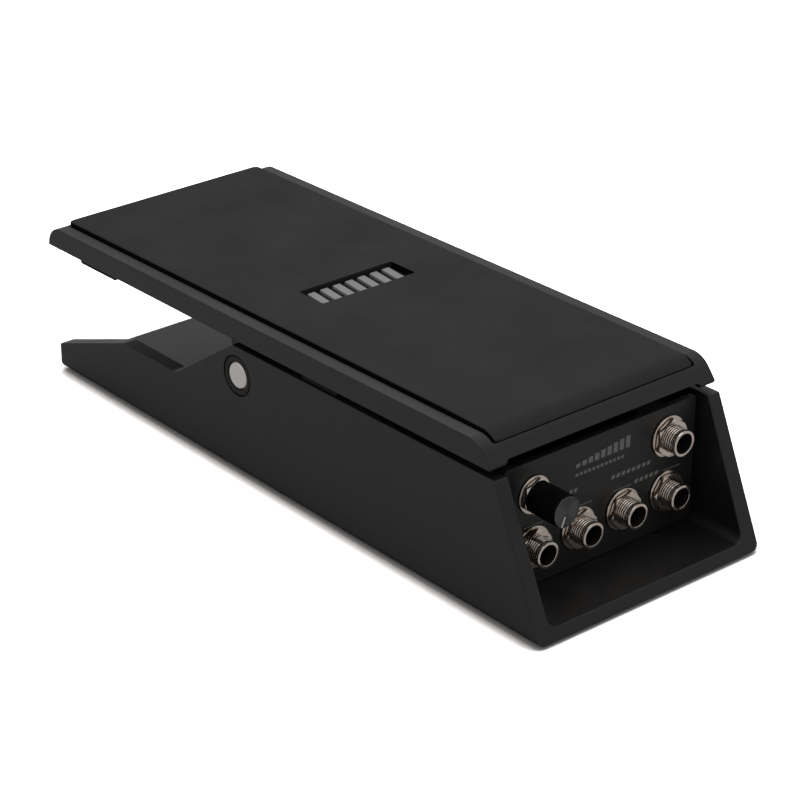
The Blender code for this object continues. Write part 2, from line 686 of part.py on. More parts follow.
def tooth(teeth, middle, addendum, dedendum, steps=3):
    """(radius, angle) points over one tooth, from its near root to its far root."""
    pitch_radius = GEAR_MODULE * teeth / 2
    root, tip = pitch_radius - dedendum, pitch_radius + addendum
    base = max(root, pitch_radius * math.cos(PRESSURE_ANGLE))
    radii = [base + (tip - base) * k / steps for k in range(steps + 1)]
    rising = [(r, middle - half_tooth_angle(teeth, r)) for r in radii]
    if root < base:
        rising.insert(0, (root, rising[0][1]))
    falling = [(r, 2 * middle - angle) for r, angle in reversed(rising)]
    return rising + falling


def build_sector_gear():
    """The toothed sector that hangs under the treadle, centred on the pivot."""
    pitch_radius = GEAR_MODULE * SECTOR_TEETH / 2
    step = math.tau / SECTOR_TEETH
    root = pitch_radius - 1.25 * GEAR_MODULE
    inner = pitch_radius - 0.010
    points = [(root, -1.6 * step)]
    for k in range(-1, 8):
        points += tooth(SECTOR_TEETH, k * step, 0.8 * GEAR_MODULE, 1.25 * GEAR_MODULE)
    last = 7.7 * step
    points.append((root, last))
    top = -math.radians(17)
    points += [(inner, last + (top - last) * k / 6) for k in range(7)]
    points += [(root, top + (-1.6 * step - top) * k / 3) for k in range(3)]
    y, z = PIVOT
    outline = [Vector((y - r * math.cos(a), z - r * math.sin(a))) for r, a in points]
    sector = plate("sector_gear", [outline], *SECTOR_X, ALONG_X, WHITE_PLASTIC)
    low = SECTOR_FLANGE_TOP - SECTOR_FLANGE_THICK
    flange = box("sector_flange", (SECTOR_BOSSES[0] - 0.0045, SECTOR_BOSS_Y - 0.0085, low),
                 (SECTOR_BOSSES[1] + 0.0045, SECTOR_BOSS_Y + 0.0085, SECTOR_FLANGE_TOP))
    join(sector, flange)
    for label, x in zip(("left", "right"), SECTOR_BOSSES):
        centre = (x, SECTOR_BOSS_Y, 0)
        cut(sector, cylinder(f"sector_screw_hole_{label}", SCREW_HOLE_RADIUS, low - 0.001,
                             SECTOR_FLANGE_TOP + 0.001, ALONG_Z, centre, sides=12))
        top = 0.0628
        head = low - GAP
        profile = [(0, top), (SCREW_RADIUS, top), (SCREW_RADIUS, head),
                   (SCREW_HEAD_RADIUS, head), (SCREW_HEAD_RADIUS - 0.0004, head - 0.0016),
                   (0, head - 0.0016)]
        turned(f"sector_screw_{label}", profile, ALONG_Z, centre, STEEL, steps=16)


def build_volume_pot():
    """The main pot on its bracket, with the pinion that the sector gear drives."""
    y, z = PINION_Y, PIVOT[1]
    sheet_high = BRACKET_X + SHEET
    low = FLOOR_TOP + GAP
    face = rounded([
        (y - 0.0135, low, 0), (y + 0.0135, low, 0), (y + 0.0135, z + 0.0125, 0.006),
        (y - 0.0135, z + 0.0125, 0.006),
    ])
    hole = circle(THREAD_RADIUS + GAP, (y, z))
    bracket = plate("pot_bracket", [face, hole], BRACKET_X, sheet_high, ALONG_X, STEEL)
    join(bracket, box("pot_bracket_foot", (BRACKET_X + 0.0002, y - 0.0135, low),
                      (BRACKET_X + 0.0175, y + 0.0135, low + SHEET)))
    for name, (screw_x, screw_y) in BRACKET_SCREWS.items():
        centre = (screw_x, screw_y, 0)
        cut(bracket, cylinder(name + "_hole", SCREW_HOLE_RADIUS, low - 0.001,
                              low + SHEET + 0.001, ALONG_Z, centre, sides=12))
        head = BRACKET_FOOT_TOP + GAP
        profile = [(0, head + 0.0018), (SCREW_HEAD_RADIUS - 0.0004, head + 0.0018),
                   (SCREW_HEAD_RADIUS, head), (SCREW_RADIUS, head),
                   (SCREW_RADIUS, 0.0034), (0, 0.0034)]
        turned(name, profile, ALONG_Z, centre, STEEL, steps=16)

    bore = SMALL_SHAFT_RADIUS + GAP
    body_start = sheet_high + GAP
    body_end = body_start + 0.0110
    thread_end = 0.0045
    # heights run from the body towards the pinion, so the pot is turned about -X
    profile = [
        (bore, -thread_end), (THREAD_RADIUS, -thread_end), (THREAD_RADIUS, -body_start),
        (POT_RADIUS, -body_start), (POT_RADIUS, -body_end), (0, -body_end),
        (0, -body_start - 0.002), (bore, -body_start - 0.002),
    ]
    towards_left = Matrix.Rotation(math.pi, 3, "Y") @ TURN_X
    turned("volume_pot", profile, towards_left, (0, y, z), STEEL, steps=28, closed=True)
    shaft_end = 0.0085
    shaft = [(0, shaft_end), (SMALL_SHAFT_RADIUS, shaft_end),
             (SMALL_SHAFT_RADIUS, -body_start - 0.0017), (0, -body_start - 0.0017)]
    turned("volume_shaft", shaft, towards_left, (0, y, z), STEEL, steps=16)
    corners = circle(SMALL_NUT_FLATS / math.sqrt(3), (y, z), sides=6)
    nut_bore = circle(THREAD_RADIUS + GAP, (y, z))
    plate("volume_pot_nut", [corners, nut_bore], BRACKET_X - GAP - NUT_THICK,
          BRACKET_X - GAP, ALONG_X, NICKEL)

    step = math.tau / PINION_TEETH
    outline = []
    for k in range(PINION_TEETH):
        for radius, angle in tooth(PINION_TEETH, (k + 0.5) * step, GEAR_MODULE,
                                   1.25 * GEAR_MODULE):
            outline.append(Vector((y + radius * math.cos(angle),
                                   z + radius * math.sin(angle))))
    plate("pinion_gear", [outline, circle(bore, (y, z), sides=16)], *PINION_X, ALONG_X,
          WHITE_PLASTIC)


def build_cable(board_back):
    """The lead from the volume pot to the board, lying on the floor of the channel."""
    start = Vector((0.0180, PINION_Y, PIVOT[1] - POT_RADIUS - 0.0008))
    radius = 0.0013
    end = Vector((0.0300, board_back + radius + GAP, 0.0300))
    low = BRACKET_FOOT_TOP + 0.0030 + radius
    bend = [start, Vector((start.x + 0.004, start.y, low)),
            Vector((end.x, end.y + 0.012, low)), end]
    steps = 14
    curve = bpy.data.curves.new("pot_cable", "CURVE")
    curve.dimensions = "3D"
    curve.bevel_depth = radius
    curve.bevel_resolution = 2
    curve.use_fill_caps = True
    spline = curve.splines.new("POLY")
    spline.points.add(steps)
    for k, point in enumerate(spline.points):
        t = k / steps
        weights = ((1 - t) ** 3, 3 * t * (1 - t) ** 2, 3 * t * t * (1 - t), t ** 3)
        place_at = sum((w * p for w, p in zip(weights, bend)), Vector())
        point.co = (*place_at, 1.0)
    cable = bpy.data.objects.new("pot_cable", curve)
    curve.materials.append(get_material(CABLE_GREY))
    PARTS.objects.link(cable)


def shade_round_pieces():
    """Smooth the round faces and keep the corners crisp."""
    for piece in PARTS.objects:
        if piece.type == "MESH" and piece.data.polygons:
            piece.data.shade_smooth()
            piece.data.set_sharp_from_angle(angle=math.radians(30))


def put_on_axis(centre, names):
    """Parent the moving pieces to an empty on their joint's axis."""
    bpy.context.view_layer.update()
    axis = bpy.data.objects.new(names[0] + "_axis", None)
    PARTS.objects.link(axis)
    axis.location = centre
    bpy.context.view_layer.update()
    for name in names:
        piece = bpy.data.objects[name]
        world = piece.matrix_world.copy()
        piece.parent = axis
        piece.matrix_parent_inverse = axis.matrix_world.inverted()
        piece.matrix_world = world


clear_scene()
PARTS = make_collection("volume_pedal")
CUTTERS = make_collection("cutters")
build_base()
build_feet()
build_bushings()
build_panel()
build_jacks()
build_minimum_volume()
BOARD_BACK = build_board()
build_treadle()
build_mat()
build_stop_pads()
build_sector_gear()
build_volume_pot()
build_cable(BOARD_BACK)
shade_round_pieces()
TREADLE_PIECES = [
    "treadle", "tread_mat", "mat_badge", "pivot_shaft", "shaft_set_screw_left",
    "shaft_set_screw_right", "sector_gear", "sector_screw_left", "sector_screw_right",
    "heel_stop_pad_left", "heel_stop_pad_right", "toe_stop_pad_left", "toe_stop_pad_right",
]
put_on_axis((0, *PIVOT), TREADLE_PIECES)
put_on_axis((0, PINION_Y, PIVOT[1]), ["pinion_gear", "volume_shaft"])
put_on_axis((KNOB_CENTRE[0], KNOB_FRONT, KNOB_CENTRE[1]),
            ["minimum_volume_knob", "minimum_volume_shaft"])
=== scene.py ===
"""Looks for the volume pedal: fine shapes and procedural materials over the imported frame.

Frame: metres, +Z up, origin on the floor under the middle of the pedal.
X runs across the pedal, Y runs along it with the toe end at -Y and the heel at +Y.
Side outlines are written as (y, z) points and cross outlines as (x, z) points.
"""

import json
import math

import bmesh
import bpy
from mathutils import Matrix, Vector


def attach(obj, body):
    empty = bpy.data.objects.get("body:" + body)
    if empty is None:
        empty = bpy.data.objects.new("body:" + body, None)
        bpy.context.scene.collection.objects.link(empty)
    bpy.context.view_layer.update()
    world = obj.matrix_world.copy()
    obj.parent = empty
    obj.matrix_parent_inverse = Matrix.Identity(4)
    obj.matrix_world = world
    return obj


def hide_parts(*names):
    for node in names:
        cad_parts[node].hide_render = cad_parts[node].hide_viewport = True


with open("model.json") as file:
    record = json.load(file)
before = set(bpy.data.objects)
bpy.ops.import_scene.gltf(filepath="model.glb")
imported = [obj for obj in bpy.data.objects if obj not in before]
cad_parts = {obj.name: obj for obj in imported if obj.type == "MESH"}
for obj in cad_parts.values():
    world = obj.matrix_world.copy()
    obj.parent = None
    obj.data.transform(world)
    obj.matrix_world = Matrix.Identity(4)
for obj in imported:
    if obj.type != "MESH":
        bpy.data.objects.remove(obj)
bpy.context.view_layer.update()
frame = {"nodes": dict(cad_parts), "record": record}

# ---------------------------------------------------------------- driving dimensions
HALF_WIDTH = 0.054
GAP = 0.0003                    # air between two pieces that touch on the real pedal
WALL = 0.0073
FLOOR_UNDERSIDE = 0.0012
FLOOR_TOP = 0.0056
TOE_FOOT_Y = -0.1460
TOE_HEAD_Y = -0.1221
CHEEK_HEIGHT = 0.05375
CHEEK_SLOPE = -0.0146
PEAK_Y = 0.0239
VALLEY = (0.0609, 0.0285)
RIDGE = (0.0955, 0.0283)
WEDGE_END = (0.1411, 0.0118)
CHEEK_INNER_TOP = 0.0482
CHEEK_INNER_FOOT = 0.0472
FLOOR_CORNER_ROUND = 0.004      # inside, where a cheek meets the floor
VALLEY_ROUND = 0.008
RIDGE_ROUND = 0.006
HEEL_EDGE_CUT = 0.0033          # the floor's heel edge slopes over this length
BASE_EDGE_ROUND = 0.0030
BASE_BEVEL = 0.0005

PIVOT = (0.0211, 0.0417)        # (y, z) of the hinge axis
SHAFT_RADIUS = 0.00535
BUSHING_RADIUS = 0.0066
FLANGE_RADIUS = 0.0077
FLANGE_THICK = 0.0012

TOP_HEIGHT = 0.06516
TOP_SLOPE = -0.0184
SKIRT_HEIGHT = 0.0562
SKIRT_SLOPE = -0.0155
TREADLE_HEEL_Y = 0.1456
TREADLE_TOE_Y = -0.1132
TREADLE_TOE_FOOT_Y = -0.1208
TREADLE_ROUND = 0.0104
TREADLE_HEEL_ROUND = 0.0081
TREADLE_BEVEL = 0.0005
TREADLE_TOE_WALL = 0.0040
TREADLE_HEEL_WALL = 0.0042
PLATE_THICK = 0.0044
LIP_HEIGHT = 0.0602
LUG_INNER = 0.0392
LUG_OUTER = 0.0453
LUG_RADIUS = 0.0095

MAT_HALF_WIDTH = 0.0480
MAT_SHOULDER = (                # (inset from the mat's side, drop below its top)
    (0.0, 0.00060), (0.0001, 0.00030), (0.0003, 0.00014), (0.0008, 0.00005),
    (0.0018, 0.00001), (0.0034, 0.0),
)
MAT_STAND = 0.0012              # the visible mat is this much higher than the CAD mat,
MAT_FALL = 0.0150               # which falls away over this length at its toe end,
MAT_SHRINK = 0.0007             # and this much narrower on each side
MAT_CORNER = 0.0012
MAT_HEEL_Y = 0.1400
MAT_RISE = 0.0003
MAT_RECESS = 0.0019
MAT_TOE_ANGLE = math.radians(37)
BADGE_HALF = (0.0226, 0.0073)
BADGE_Y = 0.0160
BADGE_DEPTH = 0.0011
BADGE_BARS = 7

PANEL_FRONT = -0.1182
PANEL_THICK = 0.0025
PANEL_HALF_WIDTH = 0.0461
PANEL_TOP = 0.0551
PANEL_FOOT_DEPTH = 0.0130
PANEL_CORNER = 0.0038
PANEL_TOP_CORNER = 0.0012

JACK_PITCH = 0.0216
JACK_LOW = 0.0215
JACK_HIGH = 0.0433
JACKS = {                       # place, and the angle at which the nut stopped
    "input_jack_outer": ((-1.5 * JACK_PITCH, JACK_LOW), 25),
    "input_jack_inner": ((-0.5 * JACK_PITCH, JACK_LOW), 11),
    "output_jack_inner": ((0.5 * JACK_PITCH, JACK_LOW), 10),
    "output_jack_outer": ((1.5 * JACK_PITCH, JACK_LOW), -5),
    "expression_jack": ((1.5 * JACK_PITCH, JACK_HIGH), 28),
}
KNOB_CENTRE = (-0.0324, 0.0420)
JACK_MOUTH_Y = -0.1266
THREAD_RADIUS = 0.0050
THREAD_DEPTH = 0.00045
THREAD_PITCH = 0.00100
JACK_BORE_RADIUS = 0.0039
BUSHING_LENGTH = 0.0088
NUT_FLATS = 0.0134
SMALL_NUT_FLATS = 0.0122
NUT_THICK = 0.0018
WASHER_RADIUS = 0.0080
SMALL_WASHER_RADIUS = 0.0072
WASHER_THICK = 0.0006
KNOB_RADIUS = 0.0061
KNOB_FRONT = -0.1350
KNOB_BACK = -0.1217
SMALL_SHAFT_RADIUS = 0.0030

FOOT_PLACES = {
    "rubber_foot_toe_left": (-0.038, -0.112),
    "rubber_foot_toe_right": (0.038, -0.112),
    "rubber_foot_heel_left": (-0.038, 0.123),
    "rubber_foot_heel_right": (0.038, 0.123),
}
FOOT_RADIUS = 0.007
FOOT_SOCKET = 0.0012

ALONG_X = Matrix(((0, 0, 1), (1, 0, 0), (0, 1, 0)))     # outline (y, z), thickness along X
ALONG_Y = Matrix(((1, 0, 0), (0, 0, -1), (0, 1, 0)))    # outline (x, z), thickness along -Y
ALONG_Z = Matrix.Identity(3)
TURN_X = Matrix(((0, 0, 1), (0, 1, 0), (-1, 0, 0)))     # a profile's height runs along +X


# ---------------------------------------------------------------- shape tools
def add_object(name, mesh):
    """Link a mesh to the scene."""
    piece = bpy.data.objects.new(name, mesh)
    bpy.context.scene.collection.objects.link(piece)
    return piece


def from_shape(name, shape, axes=ALONG_Z, centre=(0.0, 0.0, 0.0)):
    """Turn a bmesh into an object, placed by its vertices."""
    shape.transform(Matrix.Translation(Vector(centre)) @ axes.to_4x4())
    bmesh.ops.recalc_face_normals(shape, faces=shape.faces)
    mesh = bpy.data.meshes.new(name)
    shape.to_mesh(mesh)
    shape.free()
    return add_object(name, mesh)


def rounded(corners, steps=10):
    """Outline through (a, b, radius) corners, each corner replaced by an arc."""
    outline = []
    count = len(corners)
    for index, (a, b, radius) in enumerate(corners):
        corner = Vector((a, b))
        if not radius:
            outline.append(corner)
            continue
        before = Vector(corners[index - 1][:2]) - corner
        after = Vector(corners[(index + 1) % count][:2]) - corner
        before.normalize()
        after.normalize()
        half = before.angle(after) / 2
        reach = radius / math.tan(half)
        centre = corner + (before + after).normalized() * (radius / math.sin(half))
        first = corner + before * reach - centre
        sweep = (corner + after * reach - centre).angle_signed(first)
        for step in range(steps + 1):
            turn = Matrix.Rotation(sweep * step / steps, 2)
            outline.append(centre + turn @ first)
    return outline


def circle(radius, centre=(0.0, 0.0), sides=64, phase=0.0):
    """Points round a circle."""
    return [
        Vector((
            centre[0] + radius * math.cos(phase + math.tau * k / sides),
            centre[1] + radius * math.sin(phase + math.tau * k / sides),
        ))
        for k in range(sides)
    ]


def plate(name, loops, start, end, axes):
    """A flat outline, with any holes as further loops, thickened from start to end."""
    curve = bpy.data.curves.new(name, "CURVE")
    curve.dimensions = "2D"
    curve.fill_mode = "BOTH"
    curve.extrude = (end - start) / 2
    for loop in loops:
        spline = curve.splines.new("POLY")
        spline.points.add(len(loop) - 1)
        for point, (a, b) in zip(spline.points, loop):
            point.co = (a, b, 0.0, 1.0)
        spline.use_cyclic_u = True
    source = add_object(name + "_outline", curve)
    evaluated = source.evaluated_get(bpy.context.evaluated_depsgraph_get())
    mesh = bpy.data.meshes.new_from_object(evaluated)
    bpy.data.objects.remove(source, do_unlink=True)
    shape = bmesh.new()
    shape.from_mesh(mesh)
    bmesh.ops.remove_doubles(shape, verts=shape.verts, dist=0.000001)
    if len(loops) == 1:
        bmesh.ops.dissolve_limit(
            shape, angle_limit=math.radians(0.3), verts=shape.verts, edges=shape.edges
        )
    return from_shape(name, shape, axes, axes @ Vector((0.0, 0.0, (start + end) / 2)))


def lathe(name, profile, axes, centre, sides=64, ripple=None):
    """Spin a closed (radius, height, depth) profile; the ripple wave cuts in by depth."""
    shape = bmesh.new()
    rings = []
    for k in range(sides):
        angle = math.tau * k / sides
        ring = []
        for radius, height, depth in profile:
            here = radius - depth * ripple(angle, height) if depth else radius
            ring.append(shape.verts.new(
                (here * math.cos(angle), here * math.sin(angle), height)))
        rings.append(ring)
    count = len(profile)
    for k in range(sides):
        ring, following = rings[k], rings[(k + 1) % sides]
        for j in range(count):
            n = (j + 1) % count
            shape.faces.new((ring[j], following[j], following[n], ring[n]))
    bmesh.ops.remove_doubles(shape, verts=shape.verts, dist=0.000001)
    return from_shape(name, shape, axes, centre)


def smooth_profile(corners, steps=4):
    """A lathe profile from (radius, height, round) corners, with no ripple."""
    return [(point[0], point[1], 0.0) for point in rounded(corners, steps)]


def rod(name, radius, start, end, axes, centre, sides=64):
    """A plain cylinder for cutting or fusing."""
    profile = [(0, end, 0), (radius, end, 0), (radius, start, 0), (0, start, 0)]
    return lathe(name, profile, axes, centre, sides)


def block(name, low, high, corner):
    """A box between two corners, with its upright edges rounded by corner."""
    outline = rounded([
        (low[0], low[1], corner), (high[0], low[1], corner),
        (high[0], high[1], corner), (low[0], high[1], corner),
    ], steps=5)
    return plate(name, [outline], low[2], high[2], ALONG_Z)


def add_bevel(piece, width, segments=3, angle=35):
    """Round the edges of a piece that are sharper than the angle."""
    bevel = piece.modifiers.new("rounded_edges", "BEVEL")
    bevel.width = width
    bevel.segments = segments
    bevel.limit_method = "ANGLE"
    bevel.angle_limit = math.radians(angle)


def combine(piece, other, operation):
    """Cut a piece with another, or join or intersect them, for good."""
    boolean = piece.modifiers.new(other.name, "BOOLEAN")
    boolean.operation = operation
    boolean.object = other
    boolean.solver = "EXACT"
    bake(piece)
    bpy.data.objects.remove(other, do_unlink=True)


def cut(piece, *cutters):
    """Take the cutters' volume out of a piece."""
    for cutter in cutters:
        combine(piece, cutter, "DIFFERENCE")


def join(piece, *additions):
    """Fuse the additions onto a piece."""
    for addition in additions:
        combine(piece, addition, "UNION")


def bake(piece):
    """Turn a piece's modifiers into plain mesh."""
    evaluated = piece.evaluated_get(bpy.context.evaluated_depsgraph_get())
    mesh = bpy.data.meshes.new_from_object(evaluated)
    piece.modifiers.clear()
    piece.data = mesh


def weld(piece):
    """Close the hairline seams that cuts leave, and drop edges that carry no face."""
    shape = bmesh.new()
    shape.from_mesh(piece.data)
    bmesh.ops.remove_doubles(shape, verts=shape.verts, dist=0.000001)
    loose = [edge for edge in shape.edges if not edge.link_faces]
    bmesh.ops.delete(shape, geom=loose, context="EDGES")
    shape.to_mesh(piece.data)
    shape.free()


def finish_piece(piece, material, node, stands_for=True, crease=32):
    """Shade a piece, give it its material and let it ride and stand for a CAD node."""
    bake(piece)
    weld(piece)
    piece.data.materials.clear()
    piece.data.materials.append(material)
    piece.data.shade_smooth()
    piece.data.set_sharp_from_angle(angle=math.radians(crease))
    weighted = piece.modifiers.new("even_shading", "WEIGHTED_NORMAL")
    weighted.keep_sharp = True
    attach(piece, BODY_OF[node])
    if stands_for:
        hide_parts(node)


BODY_OF = {
    node: body
    for body, nodes in frame["record"]["behaviour"]["bodies"].items()
    for node in nodes
}


# ---------------------------------------------------------------- material tools
class Finish:
    """A procedural material under construction."""

    def __init__(self, name):
        self.material = bpy.data.materials.new(name)
        self.material.use_nodes = True
        self.tree = self.material.node_tree
        self.surface = self.tree.nodes["Principled BSDF"]
        self.place = self.node("TexCoord").outputs["Object"]

    def node(self, kind, values=None, **settings):
        """Add a shader node; values fill or feed its inputs by name or number."""
        item = self.tree.nodes.new("ShaderNode" + kind)
        for setting, value in settings.items():
            setattr(item, setting, value)
        for key, value in (values or {}).items():
            self.feed(item.inputs[key], value)
        return item

    def feed(self, socket, value):
        """Link an output to a socket, or write a plain value into it."""
        if isinstance(value, bpy.types.NodeSocket):
            self.tree.links.new(value, socket)
        else:
            socket.default_value = value

    def noise(self, size, detail=3.0, place=None):
        """Noise whose features are about size metres across."""
        values = {"Vector": place or self.place, "Scale": 1.0 / size, "Detail": detail}
        return self.node("TexNoise", values).outputs["Fac"]

    def spread(self, value, low, high, source=(0.3, 0.7)):
        """Map a value's source range onto low to high."""
        values = {"Value": value, "From Min": source[0], "From Max": source[1],
                  "To Min": low, "To Max": high}
        return self.node("MapRange", values).outputs["Result"]

    def tint(self, value, dark, light):
        """Blend two colours by a 0 to 1 value."""
        mix = self.node("Mix", data_type="RGBA")
        self.feed(mix.inputs["Factor"], value)
        sockets = [socket for socket in mix.inputs if socket.type == "RGBA"]
        self.feed(sockets[0], (*dark, 1.0))
        self.feed(sockets[1], (*light, 1.0))
        return next(socket for socket in mix.outputs if socket.type == "RGBA")

    def maths(self, operation, first, second=0.0):
        """A math node's result."""
        return self.node("Math", {0: first, 1: second}, operation=operation).outputs[0]

    def bump(self, height, depth, strength=1.0):
        """A normal for relief depth metres deep."""
        values = {"Height": height, "Distance": depth, "Strength": strength}
        return self.node("Bump", values).outputs["Normal"]

    def set(self, **values):
        """Write or feed the surface's own inputs."""
        for key, value in values.items():
            self.feed(self.surface.inputs[key.replace("_", " ")], value)


def grained(name, dark, light, rough, grain, depth, metal=0.0, specular=0.5, patch=0.03):
    """A surface with broad colour patches, fine relief and uneven gloss."""
    finish = Finish(name)
    broad = finish.noise(patch, 4.0)
    fine = finish.noise(grain, 5.0)
    shade = finish.spread(finish.maths("ADD", broad, finish.maths("MULTIPLY", fine, 0.5)),
                          0.0, 1.0, (0.45, 1.05))
    finish.set(Base_Color=finish.tint(shade, dark, light),
               Roughness=finish.spread(broad, *rough), Metallic=metal,
               Specular_IOR_Level=specular, Normal=finish.bump(fine, depth))
    return finish


def turned_metal(name, dark, light, rough, centre, axis):
    """Metal with fine tool rings round an axis through centre."""
    finish = grained(name, dark, light, rough, 0.0006, 0.000004, metal=1.0)
    spot = finish.node("VectorMath", {0: finish.place, 1: centre}, operation="SUBTRACT")
    flat = finish.node("VectorMath", {0: spot.outputs[0], 1: axis}, operation="MULTIPLY")
    reach = finish.node("VectorMath", {0: flat.outputs[0]}, operation="LENGTH")
    rings = finish.maths("SINE", finish.maths("MULTIPLY", reach.outputs["Value"], 36000.0))
    finish.set(Normal=finish.bump(rings, 0.000006, 0.5))
    return finish


def plain(grey):
    """A neutral grey colour."""
    return (grey, grey, grey)


def make_knob_face():
    """Spun disc: fine rings, with a painted reflection in its colour: two bright fan-shaped
    highlights that meet at the middle, plus radial streaks.
    """
    x, z = KNOB_CENTRE
    finish = Finish("knob_face_spun")
    spot = finish.node("VectorMath", {0: finish.place, 1: (x, 0.0, z)}, operation="SUBTRACT")
    parts = finish.node("SeparateXYZ", {0: spot.outputs[0]})
    angle = finish.maths("ARCTAN2", parts.outputs["Z"], parts.outputs["X"])
    painted_fan_highlights = finish.maths("COSINE", finish.maths("MULTIPLY", angle, 2.0))
    flat = finish.node("VectorMath", {0: spot.outputs[0], 1: (1, 0, 1)},
                       operation="MULTIPLY")
    reach = finish.node("VectorMath", {0: flat.outputs[0]}, operation="LENGTH")
    rings = finish.maths("SINE", finish.maths("MULTIPLY", reach.outputs["Value"], 30000.0))
    streak = finish.node("CombineXYZ", {0: finish.maths("MULTIPLY", angle, 0.004)})
    uneven = finish.noise(0.0012, 2.0, streak.outputs[0])
    # painted reflection: the fan highlights and the angle-driven streaks brighten the base
    # colour
    painted_reflection = finish.maths("ADD", finish.maths("MULTIPLY", painted_fan_highlights, 0.25), uneven)
    finish.set(Base_Color=finish.tint(finish.spread(painted_reflection, 0.0, 1.0, (0.2, 0.9)),
                                      plain(0.035), plain(0.085)),
               Roughness=0.42, Specular_IOR_Level=0.4,
               Normal=finish.bump(rings, 0.000004, 0.6))
    return finish.material


def make_board_finish():
    """Near-black green lacquer with paler tracks under it."""
    finish = grained("circuit_board_lacquer", (0.001, 0.004, 0.002), (0.002, 0.008, 0.004),
                     (0.25, 0.4), 0.0008, 0.00001)
    brick = finish.node("TexBrick", {"Vector": finish.place, "Scale": 260.0,
                                     "Mortar Size": 0.06, "Mortar Smooth": 0.3})
    finish.feed(brick.inputs["Color1"], (0.001, 0.006, 0.003, 1.0))
    finish.feed(brick.inputs["Color2"], (0.002, 0.008, 0.004, 1.0))
    finish.feed(brick.inputs["Mortar"], (0.010, 0.012, 0.004, 1.0))
    finish.set(Base_Color=brick.outputs["Color"],
               Normal=finish.bump(brick.outputs["Fac"], 0.00003))
    return finish.material


def make_cable_finish():
    """Woven sheath."""
    finish = grained("cable_sheath", plain(0.06), plain(0.12), (0.5, 0.7), 0.0005, 0.00002)
    weave = finish.node("TexWave", {"Vector": finish.place, "Scale": 700.0,
                                    "Distortion": 1.5}, bands_direction="DIAGONAL")
    finish.set(Normal=finish.bump(weave.outputs["Fac"], 0.00006))
    return finish.material


def make_finishes():
    """Every material of the pedal, by a short name."""
    knob_x, knob_z = KNOB_CENTRE
    return {
        "cast": grained("cast_metal_paint", plain(0.0080), plain(0.0110), (0.33, 0.41),
                        0.0007, 0.00004, specular=0.50).material,
        "treadle": grained("treadle_paint", plain(0.0110), plain(0.0150), (0.34, 0.42),
                           0.0007, 0.00004, specular=0.50).material,
        "panel": grained("panel_paint", plain(0.012), plain(0.015), (0.34, 0.42), 0.0005,
                         0.00002, specular=0.42).material,
        "marks": grained("panel_ink", plain(0.16), plain(0.20), (0.5, 0.6), 0.0004,
                         0.00001).material,
        "mat": grained("mat_rubber", plain(0.0140), plain(0.0178), (0.60, 0.72), 0.0007,
                       0.00010, specular=0.35, patch=0.025).material,
        # steep mat sides: near-black as painted shade in the groove along the mat
        "mat_side": grained("mat_side_painted_shade", plain(0.0015), plain(0.0030), (0.7, 0.85),
                            0.0006, 0.00002, specular=0.08).material,
        "rubber": grained("pad_rubber", plain(0.006), plain(0.010), (0.7, 0.85), 0.0006,
                          0.00006, specular=0.2).material,
        "badge_well": grained("badge_well_plastic", plain(0.004), plain(0.006),
                              (0.5, 0.6), 0.0005, 0.00002).material,
        "badge_bar": grained("badge_bar_plastic", plain(0.30), plain(0.36), (0.4, 0.5),
                             0.0006, 0.00002).material,
        "nickel": grained("nickel_plate", (0.72, 0.63, 0.56), (0.86, 0.78, 0.71),
                          (0.09, 0.16), 0.0012, 0.000006, metal=1.0).material,
        # thread roots: dark brown metal as painted shade in the thread's hollows
        "root": grained("thread_root_painted_shade", (0.05, 0.032, 0.025), (0.09, 0.06, 0.048),
                        (0.35, 0.5), 0.0010, 0.000006, metal=1.0).material,
        # jack bores: near-black as painted shade inside the deep bore
        "bore": grained("jack_bore_painted_shade", (0.006, 0.004, 0.004), (0.016, 0.010, 0.009),
                        (0.4, 0.6), 0.0008, 0.00003).material,
        "steel": grained("turned_steel", (0.45, 0.43, 0.42), (0.60, 0.58, 0.56),
                         (0.3, 0.42), 0.0009, 0.00001, metal=1.0).material,
        "pin": turned_metal("pivot_pin_steel", (0.93, 0.90, 0.88), (0.98, 0.96, 0.94),
                            (0.38, 0.5), (0.0, *PIVOT), (0, 1, 1)).material,
        "plastic": grained("black_moulded_plastic", plain(0.006), plain(0.010),
                           (0.4, 0.55), 0.0006, 0.00003, specular=0.35).material,
        "knob": grained("knob_grip_plastic", plain(0.0012), plain(0.0025), (0.5, 0.6),
                        0.0004, 0.00002, specular=0.06).material,
        "knob_face": make_knob_face(),
        "pointer": grained("pointer_paint", plain(0.62), plain(0.75), (0.4, 0.5), 0.0004,
                           0.00001).material,
        "acetal": grained("natural_acetal", (0.62, 0.60, 0.54), (0.74, 0.72, 0.66),
                          (0.35, 0.45), 0.0009, 0.00002).material,
        "board": make_board_finish(),
        "cable": make_cable_finish(),
        "rim": turned_metal("knob_rim_metal", plain(0.12), plain(0.18), (0.25, 0.35),
                            (knob_x, 0.0, knob_z), (1, 0, 1)).material,
    }


LOOK = make_finishes()


def top_line(y):
    """Height of the treadle's side bands."""
    return TOP_HEIGHT + TOP_SLOPE * y


def skirt_line(y):
    """Height of the treadle skirts' lower edges."""
    return SKIRT_HEIGHT + SKIRT_SLOPE * y


def cheek_line(y):
    """Height of the cheeks' level top edges."""
    return CHEEK_HEIGHT + CHEEK_SLOPE * y


# ---------------------------------------------------------------- base
PANEL_SCREWS = (-0.020, 0.020)
PANEL_SCREW_Y = PANEL_FRONT + 0.0085
BRACKET_SCREWS = ((0.0200, -0.0509), (0.0200, -0.0349))
SCREW_HOLE_RADIUS = 0.0018


